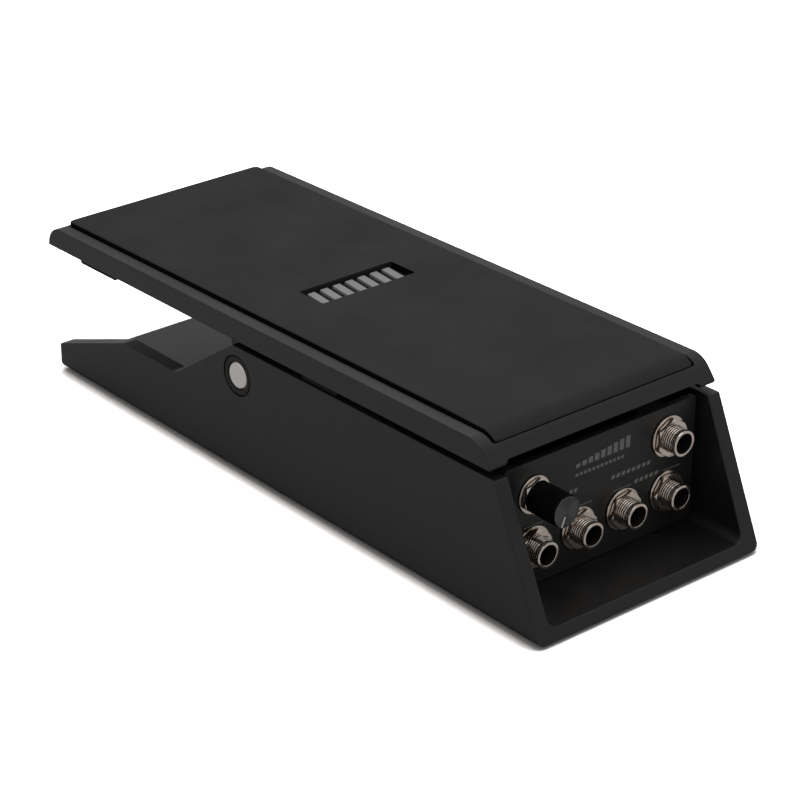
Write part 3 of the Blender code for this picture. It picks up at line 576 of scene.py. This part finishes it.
def cast_channel():
    """The channel's outside and inside, with every edge softened."""
    high = 0.062
    section = rounded([
        (-HALF_WIDTH, high, 0), (-HALF_WIDTH, FLOOR_UNDERSIDE, BASE_EDGE_ROUND),
        (HALF_WIDTH, FLOOR_UNDERSIDE, BASE_EDGE_ROUND), (HALF_WIDTH, high, 0),
        (CHEEK_INNER_TOP, high, 0), (CHEEK_INNER_FOOT, FLOOR_TOP, FLOOR_CORNER_ROUND),
        (-CHEEK_INNER_FOOT, FLOOR_TOP, FLOOR_CORNER_ROUND), (-CHEEK_INNER_TOP, high, 0),
    ], steps=14)
    base = plate("base_casting", [section], -0.150, 0.150, ALONG_Y)
    side = rounded([
        (TOE_FOOT_Y, FLOOR_UNDERSIDE, 0), (TOE_HEAD_Y, cheek_line(TOE_HEAD_Y), 0),
        (PEAK_Y, cheek_line(PEAK_Y), 0), (*VALLEY, VALLEY_ROUND), (*RIDGE, RIDGE_ROUND),
        (*WEDGE_END, 0), (WEDGE_END[0], FLOOR_UNDERSIDE, 0),
    ], steps=12)
    combine(base, plate("base_side_outline", [side], -0.06, 0.06, ALONG_X), "INTERSECT")
    add_bevel(base, BASE_BEVEL, segments=4)
    bake(base)
    return base


def slope_floor_edge(base):
    """Slope the floor's heel edge between the cheeks."""
    floor_end = WEDGE_END[0] - HEEL_EDGE_CUT
    heel_edge = rounded([
        (floor_end, FLOOR_TOP + 0.002, 0), (floor_end, FLOOR_TOP, 0),
        (WEDGE_END[0] + 0.001, FLOOR_UNDERSIDE + 0.0004, 0),
        (WEDGE_END[0] + 0.001, FLOOR_TOP + 0.002, 0),
    ])
    cut(base, plate("floor_heel_edge", [heel_edge], -CHEEK_INNER_FOOT, CHEEK_INNER_FOOT,
                    ALONG_X))


def bore_base(base):
    """Cut the bearings, the feet's sockets and the screw holes."""
    cut(base, rod("cheek_bore", BUSHING_RADIUS + GAP, -0.06, 0.06, TURN_X, (0, *PIVOT)))
    for sign in (-1, 1):
        ends = sorted((sign * (HALF_WIDTH - FLANGE_THICK - GAP), sign * (HALF_WIDTH + 0.002)))
        cut(base, rod("flange_sink", FLANGE_RADIUS + 0.0005, *ends, TURN_X, (0, *PIVOT)))
    for x, y in FOOT_PLACES.values():
        cut(base, rod("foot_socket", FOOT_RADIUS + GAP, FLOOR_UNDERSIDE - 0.001,
                      FLOOR_UNDERSIDE + FOOT_SOCKET, ALONG_Z, (x, y, 0)))
    for x in PANEL_SCREWS:
        centre = (x, PANEL_SCREW_Y, 0)
        cut(base, rod("screw_sink", 0.0033, FLOOR_UNDERSIDE - 0.001,
                      FLOOR_UNDERSIDE + 0.0022, ALONG_Z, centre, 32),
            rod("screw_bore", SCREW_HOLE_RADIUS, 0.002, 0.008, ALONG_Z, centre, 24))
    for x, y in BRACKET_SCREWS:
        cut(base, rod("bracket_bore", SCREW_HOLE_RADIUS, 0.003, 0.008, ALONG_Z,
                      (x, y, 0), 24))


def build_base():
    """The cast base channel."""
    base = cast_channel()
    slope_floor_edge(base)
    bore_base(base)
    finish_piece(base, LOOK["cast"], "base_channel")


def build_feet():
    """Four rubber discs with rounded rims."""
    high = FLOOR_UNDERSIDE + FOOT_SOCKET - GAP
    profile = smooth_profile([(0, high, 0), (FOOT_RADIUS, high, 0.0002),
                              (FOOT_RADIUS, 0, 0.0006), (0, 0, 0)])
    for name, (x, y) in FOOT_PLACES.items():
        foot = lathe(name + "_disc", profile, ALONG_Z, (x, y, 0))
        finish_piece(foot, LOOK["rubber"], name)


def build_bushings():
    """Flanged bushes in the cheeks, with softened rims."""
    bore = SHAFT_RADIUS + GAP
    length = HALF_WIDTH - LUG_OUTER - GAP
    profile = smooth_profile([
        (bore, length, 0.0004), (FLANGE_RADIUS, length, 0.0004),
        (FLANGE_RADIUS, length - FLANGE_THICK, 0.0001),
        (BUSHING_RADIUS, length - FLANGE_THICK, 0.0001),
        (BUSHING_RADIUS, 0.0, 0.0003), (bore, 0.0, 0.0003),
    ])
    for node, sign in (("pivot_bushing_left", -1), ("pivot_bushing_right", 1)):
        axes = TURN_X if sign > 0 else Matrix.Rotation(math.pi, 3, "Y") @ TURN_X
        bush = lathe(node + "_bush", profile, axes, (sign * (LUG_OUTER + GAP), *PIVOT))
        finish_piece(bush, LOOK["plastic"], node)


# ---------------------------------------------------------------- jack panel
def build_panel():
    """The upright plate with softened edges and its screwed-down foot."""
    low = FLOOR_TOP + GAP
    face = rounded([
        (-PANEL_HALF_WIDTH, low, PANEL_CORNER), (PANEL_HALF_WIDTH, low, PANEL_CORNER),
        (PANEL_HALF_WIDTH, PANEL_TOP, PANEL_TOP_CORNER),
        (-PANEL_HALF_WIDTH, PANEL_TOP, PANEL_TOP_CORNER),
    ])
    holes = [circle(THREAD_RADIUS + 0.0002, centre) for centre, _ in JACKS.values()]
    holes.append(circle(THREAD_RADIUS + 0.0002, KNOB_CENTRE))
    panel = plate("jack_panel_plate", [face, *holes], -PANEL_FRONT - PANEL_THICK,
                  -PANEL_FRONT, ALONG_Y)
    add_bevel(panel, 0.0005)
    bake(panel)
    join(panel, block("panel_foot", (-0.037, PANEL_FRONT + 0.0008, low),
                      (0.037, PANEL_FRONT + PANEL_FOOT_DEPTH, low + 0.002), 0.001))
    for x in PANEL_SCREWS:
        cut(panel, rod("panel_hole", SCREW_HOLE_RADIUS, low - 0.001, low + 0.003, ALONG_Z,
                       (x, PANEL_SCREW_Y, 0), 24))
    finish_piece(panel, LOOK["panel"], "jack_panel")


def bar(x, z, width, height, lean=0.0):
    """A slanted bar's outline from its lower left corner."""
    return [Vector((x, z)), Vector((x + width, z)),
            Vector((x + width + lean, z + height)), Vector((x + lean, z + height))]


def row_of_bars(count, start, pitch, width, height, growth=0.0, lean=0.0):
    """Outlines of bars side by side, each taller than the last by growth."""
    x, z = start
    return [bar(x + pitch * k, z, width, height + growth * k, lean) for k in range(count)]


def build_panel_marks():
    """Generic printed marks: a rising row of bars, dashes and hairlines."""
    outlines = row_of_bars(9, (-0.0125, 0.0452), 0.0030, 0.0021, 0.0015, growth=0.0004)
    outlines += row_of_bars(12, (-0.0125, 0.0418), 0.0020, 0.0013, 0.0011)
    outlines += row_of_bars(8, (0.0049, 0.0348), 0.0025, 0.0016, 0.0015, lean=0.0004)
    outlines += row_of_bars(5, (0.0165, 0.0294), 0.0025, 0.0016, 0.0015, lean=0.0004)
    outlines += row_of_bars(2, (-0.0154, 0.0359), 0.0022, 0.0014, 0.0015, lean=0.0004)
    hairlines = ((0.0064, 0.0086), (0.0310, 0.0083), (-0.0364, 0.0089), (-0.0099, 0.0058))
    outlines += [bar(start, 0.02950, length, 0.00035) for start, length in hairlines]
    marks = plate("panel_marks", outlines, -PANEL_FRONT - 0.0001, -PANEL_FRONT + 0.00002,
                  ALONG_Y)
    finish_piece(marks, LOOK["marks"], "jack_panel", stands_for=False)


def screw_wave(angle, height):
    """0 on a thread's round crest and 1 in its sharp root, along a helix."""
    turn = (height / THREAD_PITCH + angle / math.tau) % 1.0
    return 1.0 - math.sin(math.pi * turn)


def bushing_profile():
    """A jack bushing's outline: mouth ring, plain collar, thread and bore."""
    mouth = -JACK_MOUTH_Y
    rear = mouth - BUSHING_LENGTH
    collar = THREAD_RADIUS - 0.00005
    bore = JACK_BORE_RADIUS
    profile = [
        (bore + 0.0001, mouth, 0), (collar - 0.0002, mouth, 0),
        (collar - 0.00006, mouth - 0.00006, 0), (collar, mouth - 0.0002, 0),
        (collar, mouth - 0.0009, 0), (collar - 0.00005, mouth - 0.00098, 0),
        (collar - 0.0005, mouth - 0.00105, 0), (collar - 0.0005, mouth - 0.0013, 0),
    ]
    steps = 90
    start = mouth - 0.0014
    for k in range(steps + 1):
        height = start + (rear - start) * k / steps
        profile.append((THREAD_RADIUS, height, THREAD_DEPTH))
    return profile + [(bore, rear, 0), (bore, mouth - 0.0001, 0)]


def build_bushing(node, x, z):
    """A jack's threaded bushing, with painted shade inside its bore and in the thread's root.
    """
    bushing = lathe(node + "_thread", bushing_profile(), ALONG_Y, (x, 0, z), 72, screw_wave)
    finish_piece(bushing, LOOK["nickel"], node)
    bushing.data.materials.append(LOOK["bore"])
    bushing.data.materials.append(LOOK["root"])
    root = THREAD_RADIUS - 0.36 * THREAD_DEPTH
    for face in bushing.data.polygons:
        reach = math.hypot(face.center.x - x, face.center.z - z)
        # faces inside the bore, behind the mouth, take the near-black painted shade
        if reach < JACK_BORE_RADIUS + 0.00005 and face.center.y > JACK_MOUTH_Y + 0.00008:
            face.material_index = 1
        # faces deep in the thread's root take the painted shade
        elif reach < root and face.center.y > JACK_MOUTH_Y + 0.0009:
            face.material_index = 2


def build_nut(node, x, z, flats, bore, angle):
    """A hexagon nut with its corners turned down on both faces."""
    back = -PANEL_FRONT + 2 * GAP + WASHER_THICK
    corner = flats / math.sqrt(3)
    hexagon = circle(corner, (x, z), sides=6, phase=math.radians(angle))
    nut = plate(node + "_hexagon", [hexagon, circle(bore, (x, z))], back,
                back + NUT_THICK, ALONG_Y)
    fall = 0.00075
    rim = flats / 2 + 0.0001
    cone = [(0, back + NUT_THICK + 0.0001, 0), (rim, back + NUT_THICK + 0.0001, 0),
            (corner + 0.0002, back + NUT_THICK - fall, 0),
            (corner + 0.0002, back + fall, 0), (rim, back - 0.0001, 0),
            (0, back - 0.0001, 0)]
    combine(nut, lathe("nut_cone", cone, ALONG_Y, (x, 0, z), 96), "INTERSECT")
    add_bevel(nut, 0.00012, segments=2, angle=25)
    finish_piece(nut, LOOK["nickel"], node, crease=25)


def build_washer(node, x, z, radius, bore):
    """A flat ring with softened rims."""
    back = -PANEL_FRONT + GAP
    front = back + WASHER_THICK
    profile = smooth_profile([(bore, front, 0.0001), (radius, front, 0.00025),
                              (radius, back, 0.0001), (bore, back, 0.0001)])
    ring = lathe(node + "_ring", profile, ALONG_Y, (x, 0, z), 72)
    finish_piece(ring, LOOK["nickel"], node)


def build_jacks():
    """Five jacks' bushings, nuts and washers."""
    for name, ((x, z), angle) in JACKS.items():
        bore = THREAD_RADIUS + 0.00012
        build_bushing(name + "_bushing", x, z)
        build_nut(name + "_nut", x, z, NUT_FLATS, bore, angle)
        build_washer(name + "_washer", x, z, WASHER_RADIUS, bore)


KNURLS = 56
KNURL_DEPTH = 0.00028
KNOB_COLLAR = 0.0042            # length of the smooth part next to the panel
POINTER_ANGLE = math.radians(-114)


def knurl_wave(angle, height):
    """Grooves along the knob's grip."""
    return 0.5 - 0.5 * math.cos(KNURLS * angle)


def build_knob_grip(x, z):
    """The knurled grip with its smooth collar and the blind hole for the shaft."""
    face, rear, radius = -KNOB_FRONT, -KNOB_BACK, KNOB_RADIUS
    inner = SMALL_SHAFT_RADIUS + GAP
    hole_end = face - 0.0020 + GAP
    collar = rear + KNOB_COLLAR
    grip = face - 0.0009
    profile = [
        (0, face - 0.0003, 0), (radius - 0.0006, face - 0.0003, 0),
        (radius - 0.0006, face, 0), (radius - 0.0004, face, 0),
        (radius - 0.0001, face - 0.0003, 0), (radius, face - 0.0006, 0),
    ]
    profile += [(radius, grip + (collar - grip) * k / 4, KNURL_DEPTH) for k in range(5)]
    profile += [
        (radius - 0.0001, collar - 0.0002, 0), (radius - 0.0001, rear + 0.0003, 0),
        (radius - 0.0004, rear, 0), (inner, rear, 0), (inner, hole_end, 0),
        (0, hole_end, 0),
    ]
    knob = lathe("knob_grip", profile, ALONG_Y, (x, 0, z), 8 * KNURLS, knurl_wave)
    finish_piece(knob, LOOK["knob"], "minimum_volume_knob")


def build_knob_face(x, z):
    """The spun disc let into the knob's front and the bright rim round it."""
    face, radius = -KNOB_FRONT, KNOB_RADIUS
    disc = smooth_profile([(0, face - 0.00005, 0), (radius - 0.0007, face - 0.00005, 0.0001),
                           (radius - 0.0007, face - 0.00025, 0), (0, face - 0.00025, 0)], 2)
    spun = lathe("knob_face_disc", disc, ALONG_Y, (x, 0, z), 96)
    finish_piece(spun, LOOK["knob_face"], "minimum_volume_knob", stands_for=False)
    ring = smooth_profile([(radius - 0.00062, face + 0.00004, 0.00003),
                           (radius - 0.00036, face + 0.00004, 0.00003),
                           (radius - 0.00036, face - 0.0001, 0),
                           (radius - 0.00062, face - 0.0001, 0)], 2)
    rim = lathe("knob_rim", ring, ALONG_Y, (x, 0, z), 96)
    finish_piece(rim, LOOK["rim"], "minimum_volume_knob", stands_for=False)


def build_knob_pointer(x, z):
    """The painted line on the knob's front."""
    face = -KNOB_FRONT
    turn = Matrix.Rotation(POINTER_ANGLE, 2)
    corners = [(0.0019, -0.0003), (0.0058, -0.0003), (0.0058, 0.0003), (0.0019, 0.0003)]
    outline = [Vector((x, z)) + turn @ Vector(corner) for corner in corners]
    pointer = plate("knob_pointer", [outline], face - 0.0001, face + 0.00005, ALONG_Y)
    finish_piece(pointer, LOOK["pointer"], "minimum_volume_knob", stands_for=False)


def build_knob():
    """The minimum volume knob with its nut and washer."""
    x, z = KNOB_CENTRE
    bore = THREAD_RADIUS + 0.0003
    build_nut("minimum_volume_nut", x, z, SMALL_NUT_FLATS, bore, 20)
    build_washer("minimum_volume_washer", x, z, SMALL_WASHER_RADIUS, bore)
    build_knob_grip(x, z)
    build_knob_face(x, z)
    build_knob_pointer(x, z)


# ---------------------------------------------------------------- treadle
SECTOR_BOSSES = (-0.0095, 0.0045)
SECTOR_BOSS_Y = -0.0250
SECTOR_FLANGE_TOP = 0.0580


def treadle_shell():
    """The foot plate: outside with softened edges, the room under it and the mat's recess."""
    outline = rounded([
        (TREADLE_HEEL_Y, skirt_line(TREADLE_HEEL_Y), 0),
        (TREADLE_HEEL_Y, top_line(TREADLE_HEEL_Y), TREADLE_HEEL_ROUND),
        (TREADLE_TOE_Y, top_line(TREADLE_TOE_Y), TREADLE_ROUND),
        (TREADLE_TOE_FOOT_Y, skirt_line(TREADLE_TOE_FOOT_Y), 0.001),
    ], steps=16)
    treadle = plate("treadle_casting", [outline], -HALF_WIDTH, HALF_WIDTH, ALONG_X)
    add_bevel(treadle, TREADLE_BEVEL, segments=4)
    bake(treadle)

    inner = HALF_WIDTH - WALL
    toe_wall = TREADLE_TOE_FOOT_Y + TREADLE_TOE_WALL
    heel_wall = TREADLE_HEEL_Y - TREADLE_HEEL_WALL
    room = rounded([
        (toe_wall, 0.040, 0), (heel_wall, 0.040, 0),
        (heel_wall, top_line(heel_wall) - PLATE_THICK, 0.003),
        (toe_wall, top_line(toe_wall) - PLATE_THICK, 0.006),
    ])
    cut(treadle, plate("treadle_room", [room], -inner, inner, ALONG_X))
    mouth = rounded([(-inner, 0.040, 0), (inner, 0.040, 0), (inner, LIP_HEIGHT, 0.002),
                     (-inner, LIP_HEIGHT, 0.002)])
    cut(treadle, plate("treadle_toe_mouth", [mouth], -toe_wall - 0.004,
                       -toe_wall + 0.010, ALONG_Y))
    cut(treadle, build_mat_shape("mat_recess", -MAT_RECESS, 0.004, 0.0004, ((0.0, 0.0),)))
    return treadle


def add_treadle_lugs(treadle):
    """Fuse on the hinge lugs and the sector gear's bosses."""
    y, z = PIVOT
    for sign in (-1, 1):
        ends = sorted((sign * LUG_INNER, sign * LUG_OUTER))
        lug = rounded([
            (y - 0.019, 0.0620, 0), (y - LUG_RADIUS, z - LUG_RADIUS, LUG_RADIUS * 0.98),
            (y + LUG_RADIUS, z - LUG_RADIUS, LUG_RADIUS * 0.98), (y + 0.019, 0.0620, 0),
        ])
        join(treadle, plate("hinge_lug", [lug], *ends, ALONG_X))
    for x in SECTOR_BOSSES:
        join(treadle, rod("sector_boss", 0.0045, SECTOR_FLANGE_TOP + GAP, 0.0630, ALONG_Z,
                          (x, SECTOR_BOSS_Y, 0), 32))


def bore_treadle(treadle):
    """Cut the shaft's bore and the holes for the sector's and the lugs' screws."""
    y, z = PIVOT
    cut(treadle, rod("lug_bore", SHAFT_RADIUS + GAP, -0.048, 0.048, TURN_X, (0, *PIVOT)))
    for x in SECTOR_BOSSES:
        cut(treadle, rod("boss_hole", SCREW_HOLE_RADIUS, 0.057, 0.0632, ALONG_Z,
                         (x, SECTOR_BOSS_Y, 0), 24))
    for sign in (-1, 1):
        cut(treadle, rod("set_screw_hole", 0.0020, z - 0.012, z - 0.003, ALONG_Z,
                         (sign * (LUG_INNER + LUG_OUTER) / 2, y, 0), 32))


def build_treadle():
    """The cast treadle."""
    treadle = treadle_shell()
    add_treadle_lugs(treadle)
    bore_treadle(treadle)
    finish_piece(treadle, LOOK["treadle"], "treadle")


def build_shaft():
    """The pivot shaft with chamfered ends."""
    end = HALF_WIDTH - 0.0002
    edge = 0.0005
    profile = [
        (0, end, 0), (SHAFT_RADIUS - edge, end, 0), (SHAFT_RADIUS, end - edge, 0),
        (SHAFT_RADIUS, edge - end, 0), (SHAFT_RADIUS - edge, -end, 0), (0, -end, 0),
    ]
    shaft = lathe("pivot_shaft_rod", profile, TURN_X, (0, *PIVOT), 72)
    finish_piece(shaft, LOOK["pin"], "pivot_shaft")


def mat_stations(extra):
    """(point, outward normal, distances from heel and toe end) along the mat's top line."""
    flat = Vector((-1.0, -TOP_SLOPE)).normalized()
    upward = Vector((-TOP_SLOPE, 1.0)).normalized()
    corner = Vector((TREADLE_TOE_Y, top_line(TREADLE_TOE_Y)))
    slant = Vector((TREADLE_TOE_FOOT_Y - TREADLE_TOE_Y,
                    skirt_line(TREADLE_TOE_FOOT_Y) - top_line(TREADLE_TOE_Y)))
    half = (-flat).angle(slant) / 2
    bend = corner - flat * (TREADLE_ROUND / math.tan(half))
    centre = bend - upward * TREADLE_ROUND
    heel = Vector((MAT_HEEL_Y, top_line(MAT_HEEL_Y))) - flat * extra
    run = (bend - heel).length
    arc = TREADLE_ROUND * MAT_TOE_ANGLE + extra
    total = run + arc
    near = [MAT_CORNER * k / 5 for k in range(6)]
    travel = near + [run * k / 12 for k in range(1, 12)]
    travel += [run + arc * k / 16 for k in range(10)] + [total - d for d in reversed(near)]
    stations = []
    for s in sorted(set(travel)):
        if s <= run:
            point, normal = heel + flat * s, upward
        else:
            normal = Matrix.Rotation((s - run) / TREADLE_ROUND, 2) @ upward
            point = centre + normal * TREADLE_ROUND
        stations.append((point, normal, s, total - s))
    return stations


def build_mat_shape(name, low, high, extra, shoulder, stand=0.0):
    """The mat between two offsets from the top line, its sides falling off by shoulder.

    stand is added to the upper offset and falls away towards the toe end.
    """
    shape = bmesh.new()
    rings = []
    for point, normal, from_heel, from_toe in mat_stations(extra):
        distance = min(from_heel, from_toe)
        top = high + stand * (1 - max(0.0, 1 - from_toe / MAT_FALL) ** 2)
        half = MAT_HALF_WIDTH + extra
        if distance < MAT_CORNER:
            short = MAT_CORNER - distance
            half -= MAT_CORNER - math.sqrt(MAT_CORNER ** 2 - short ** 2)
        foot = half - shoulder[0][0]
        section = [(-foot, low), (foot, low)]
        section += [(half - inset, top - drop) for inset, drop in shoulder]
        section += [(inset - half, top - drop) for inset, drop in reversed(shoulder)]
        rings.append([
            shape.verts.new((x, point.x + normal.x * offset, point.y + normal.y * offset))
            for x, offset in section
        ])
    for ring, following in zip(rings, rings[1:]):
        for j in range(len(ring)):
            n = (j + 1) % len(ring)
            shape.faces.new((ring[j], ring[n], following[n], following[j]))
    shape.faces.new(rings[0])
    shape.faces.new(rings[-1])
    bmesh.ops.remove_doubles(shape, verts=shape.verts, dist=0.000001)
    return from_shape(name, shape)


def build_mat():
    """The rubber mat with the badge's window, its steep sides near-black as painted shade."""
    shoulder = [(inset + MAT_SHRINK, drop) for inset, drop in MAT_SHOULDER]
    mat = build_mat_shape("tread_mat_sheet", -MAT_RECESS + GAP, MAT_RISE, 0.0, shoulder,
                          MAT_STAND)
    half_x, half_y = BADGE_HALF
    middle = top_line(BADGE_Y)
    cut(mat, block("mat_window", (-half_x, BADGE_Y - half_y, middle - 0.005),
                   (half_x, BADGE_Y + half_y, middle + 0.005), 0.0008))
    finish_piece(mat, LOOK["mat"], "tread_mat", crease=20)
    mat.data.materials.append(LOOK["mat_side"])
    # steep side faces take the near-black painted shade
    for face in mat.data.polygons:
        if abs(face.normal.x) > 0.8:
            face.material_index = 1


def build_badge():
    """The badge in the mat's window: a dark plate with plain slanted bars."""
    half_x, half_y = BADGE_HALF
    middle = top_line(BADGE_Y)
    floor = middle - BADGE_DEPTH
    well = block("badge_well", (-half_x + GAP, BADGE_Y - half_y + GAP,
                                middle - MAT_RECESS + GAP),
                 (half_x - GAP, BADGE_Y + half_y - GAP, floor), 0.0006)
    finish_piece(well, LOOK["badge_well"], "mat_badge")
    pitch = 2 * (half_x - 0.0014) / BADGE_BARS
    start = (-half_x + 0.0018, BADGE_Y - half_y + 0.0013)
    outlines = row_of_bars(BADGE_BARS, start, pitch, pitch - 0.0026, 2 * half_y - 0.0026,
                           lean=0.0012)
    blocks = plate("badge_bars", outlines, floor, middle + 0.0001, ALONG_Z)
    add_bevel(blocks, 0.0002)
    finish_piece(blocks, LOOK["badge_bar"], "mat_badge", stands_for=False)


STOP_PADS = {                   # start, end and depth along the skirt
    "heel_stop_pad": (0.1000, 0.1241, 0.0016),
    "toe_stop_pad": (-0.0372, -0.0170, 0.0020),
}
STOP_PAD_SIDES = (0.0482, 0.0532)


def build_stop_pads():
    """Rubber pads under the skirts."""
    for name, (start, end, depth) in STOP_PADS.items():
        outline = rounded([
            (start, skirt_line(start) - GAP, 0), (start, skirt_line(start) - depth, 0.001),
            (end, skirt_line(end) - depth, 0.001), (end, skirt_line(end) - GAP, 0),
        ], steps=6)
        for side, sign in (("left", -1), ("right", 1)):
            ends = sorted(sign * reach for reach in STOP_PAD_SIDES)
            pad = plate(f"{name}_{side}_rubber", [outline], *ends, ALONG_X)
            add_bevel(pad, 0.0003)
            finish_piece(pad, LOOK["rubber"], f"{name}_{side}")


# ---------------------------------------------------------------- carried-over nodes
CARRIED = {
    "steel": ("minimum_volume_shaft", "shaft_set_screw_left", "shaft_set_screw_right",
              "sector_screw_left", "sector_screw_right", "volume_pot", "volume_shaft",
              "pot_bracket", "pot_bracket_screw_toe", "pot_bracket_screw_heel",
              "jack_panel_screw_left", "jack_panel_screw_right"),
    "nickel": ("minimum_volume_pot", "volume_pot_nut"),
    "plastic": tuple(name + "_body" for name in JACKS),
    "acetal": ("sector_gear", "pinion_gear"),
    "board": ("circuit_board",),
    "cable": ("pot_cable",),
}


def dress_carried_nodes():
    """Give the inner pieces, which keep their CAD shape, their procedural finishes."""
    for look, nodes in CARRIED.items():
        for node in nodes:
            piece = frame["nodes"][node]
            for slot in range(len(piece.data.materials)):
                piece.data.materials[slot] = LOOK[look]


# ---------------------------------------------------------------- studio
CAMERA_PLACE = (-0.60674, -0.72459, 0.49009)
CAMERA_AZIMUTH = math.radians(-40.3)
CAMERA_ELEVATION = math.radians(26.315)
CAMERA_ROLL = math.radians(-0.284)
CAMERA_LENS = 124.39


def build_camera():
    """The camera that the scene is looked at through."""
    a, e, r = CAMERA_AZIMUTH, CAMERA_ELEVATION, CAMERA_ROLL
    back = Vector((math.sin(a) * math.cos(e), -math.cos(a) * math.cos(e), math.sin(e)))
    level = Vector((math.cos(a), math.sin(a), 0.0))
    upright = back.cross(level)
    right = math.cos(r) * level - math.sin(r) * upright
    above = math.sin(r) * level + math.cos(r) * upright
    lens = bpy.data.cameras.new("camera")
    lens.lens = CAMERA_LENS
    lens.sensor_width = 36.0
    lens.clip_start = 0.01
    camera = bpy.data.objects.new("camera", lens)
    bpy.context.scene.collection.objects.link(camera)
    turn = Matrix((right, above, back)).transposed()
    camera.matrix_world = Matrix.Translation(CAMERA_PLACE) @ turn.to_4x4()
    bpy.context.scene.camera = camera


FLOOR_SEEN = 3.6                # how pale the floor looks to the camera
FLOOR_FELT = 0.60               # how pale it is to the pedal
# warm tint of the floor's colour, seen only in the painted contact shadow
FLOOR_TONE = (1.03, 1.0, 0.985)
# the floor's painted contact shadow reaches this far round the pedal's foot
CONTACT_SHADOW_REACH = 0.007           # how far the dark line round the pedal's foot spreads


def build_floor():
    """A wide pale floor, darkened near the pedal by a painted contact shadow."""
    outline = rounded([(-12, -12, 3), (12, -12, 3), (12, 12, 3), (-12, 12, 3)], steps=12)
    floor = plate("studio_floor", [outline], -0.02, 0.0, ALONG_Z)
    finish = Finish("studio_floor")
    finish.tree.nodes.remove(finish.surface)
    seen = finish.node("LightPath").outputs["Is Camera Ray"]
    level = finish.spread(seen, FLOOR_FELT, FLOOR_SEEN, (0.0, 1.0))
    speck = finish.spread(finish.noise(0.4), 0.99, 1.0)
    # painted contact shadow: ambient occlusion darkens the floor's colour close to the pedal
    near = finish.node("AmbientOcclusion", {"Distance": CONTACT_SHADOW_REACH}, samples=12)
    painted_contact_shadow = finish.spread(near.outputs["AO"], 0.22, 1.0, (0.50, 0.88))
    shade = finish.maths("MULTIPLY", finish.maths("MULTIPLY", level, speck), painted_contact_shadow)
    colour = finish.node("CombineColor", {k: finish.maths("MULTIPLY", shade, share)
                                          for k, share in enumerate(FLOOR_TONE)})
    matte = finish.node("BsdfDiffuse", {"Color": colour.outputs[0]})
    output = finish.tree.nodes["Material Output"]
    finish.feed(output.inputs["Surface"], matte.outputs[0])
    floor.data.materials.append(finish.material)


SKY = 0.40                      # overall brightness of the light tent
BACK_GLOW = 0.03                # extra from low behind the pedal, away from the camera
TOP_GLOW = 0.16                 # extra from above


def build_light_tent():
    """A soft surround: pale everywhere, brighter above and behind."""
    world = bpy.data.worlds.new("light_tent")
    world.use_nodes = True
    bpy.context.scene.world = world
    tree = world.node_tree
    place = tree.nodes.new("ShaderNodeTexCoord").outputs["Generated"]
    total = None
    for direction, share in (((0.62, 0.72, 0.32), BACK_GLOW), ((0.0, 0.15, 1.0), TOP_GLOW)):
        dot = tree.nodes.new("ShaderNodeVectorMath")
        dot.operation = "DOT_PRODUCT"
        tree.links.new(place, dot.inputs[0])
        dot.inputs[1].default_value = Vector(direction).normalized()
        ramp = tree.nodes.new("ShaderNodeMapRange")
        ramp.interpolation_type = "SMOOTHSTEP"
        ramp.inputs["From Min"].default_value = 0.3
        ramp.inputs["To Max"].default_value = share
        tree.links.new(dot.outputs["Value"], ramp.inputs["Value"])
        add = tree.nodes.new("ShaderNodeMath")
        tree.links.new(ramp.outputs["Result"], add.inputs[0])
        add.inputs[1].default_value = SKY
        if total:
            tree.links.new(total, add.inputs[1])
        total = add.outputs[0]
    shade = tree.nodes["Background"]
    shade.inputs["Color"].default_value = (1.0, 1.0, 1.0, 1.0)
    tree.links.new(total, shade.inputs["Strength"])


def add_softbox(name, place, target, size, power):
    """A large soft area light aimed at a target."""
    lamp = bpy.data.lights.new(name, "AREA")
    lamp.shape = "RECTANGLE"
    lamp.size, lamp.size_y = size
    lamp.energy = power
    box = bpy.data.objects.new(name, lamp)
    bpy.context.scene.collection.objects.link(box)
    aim = (Vector(target) - Vector(place)).to_track_quat("-Z", "Y")
    box.matrix_world = Matrix.Translation(place) @ aim.to_matrix().to_4x4()


SOFTBOXES = (                   # name, place, target, size, power
    ("softbox_above", (0.0, -0.05, 0.9), (0.0, 0.0, 0.03), (0.6, 0.6), 1.2),
    ("softbox_behind", (0.41, 0.50, 0.44), (-0.03, -0.04, 0.06), (0.35, 0.35), 0.07),
)


def build_studio():
    """Floor, surround, softboxes and camera, shown without a film curve."""
    build_floor()
    build_light_tent()
    for softbox in SOFTBOXES:
        add_softbox(*softbox)
    build_camera()
    bpy.context.scene.view_settings.view_transform = "Standard"


build_base()
build_feet()
build_bushings()
build_panel()
build_panel_marks()
build_jacks()
build_knob()
build_treadle()
build_shaft()
build_mat()
build_badge()
build_stop_pads()
dress_carried_nodes()
build_studio()
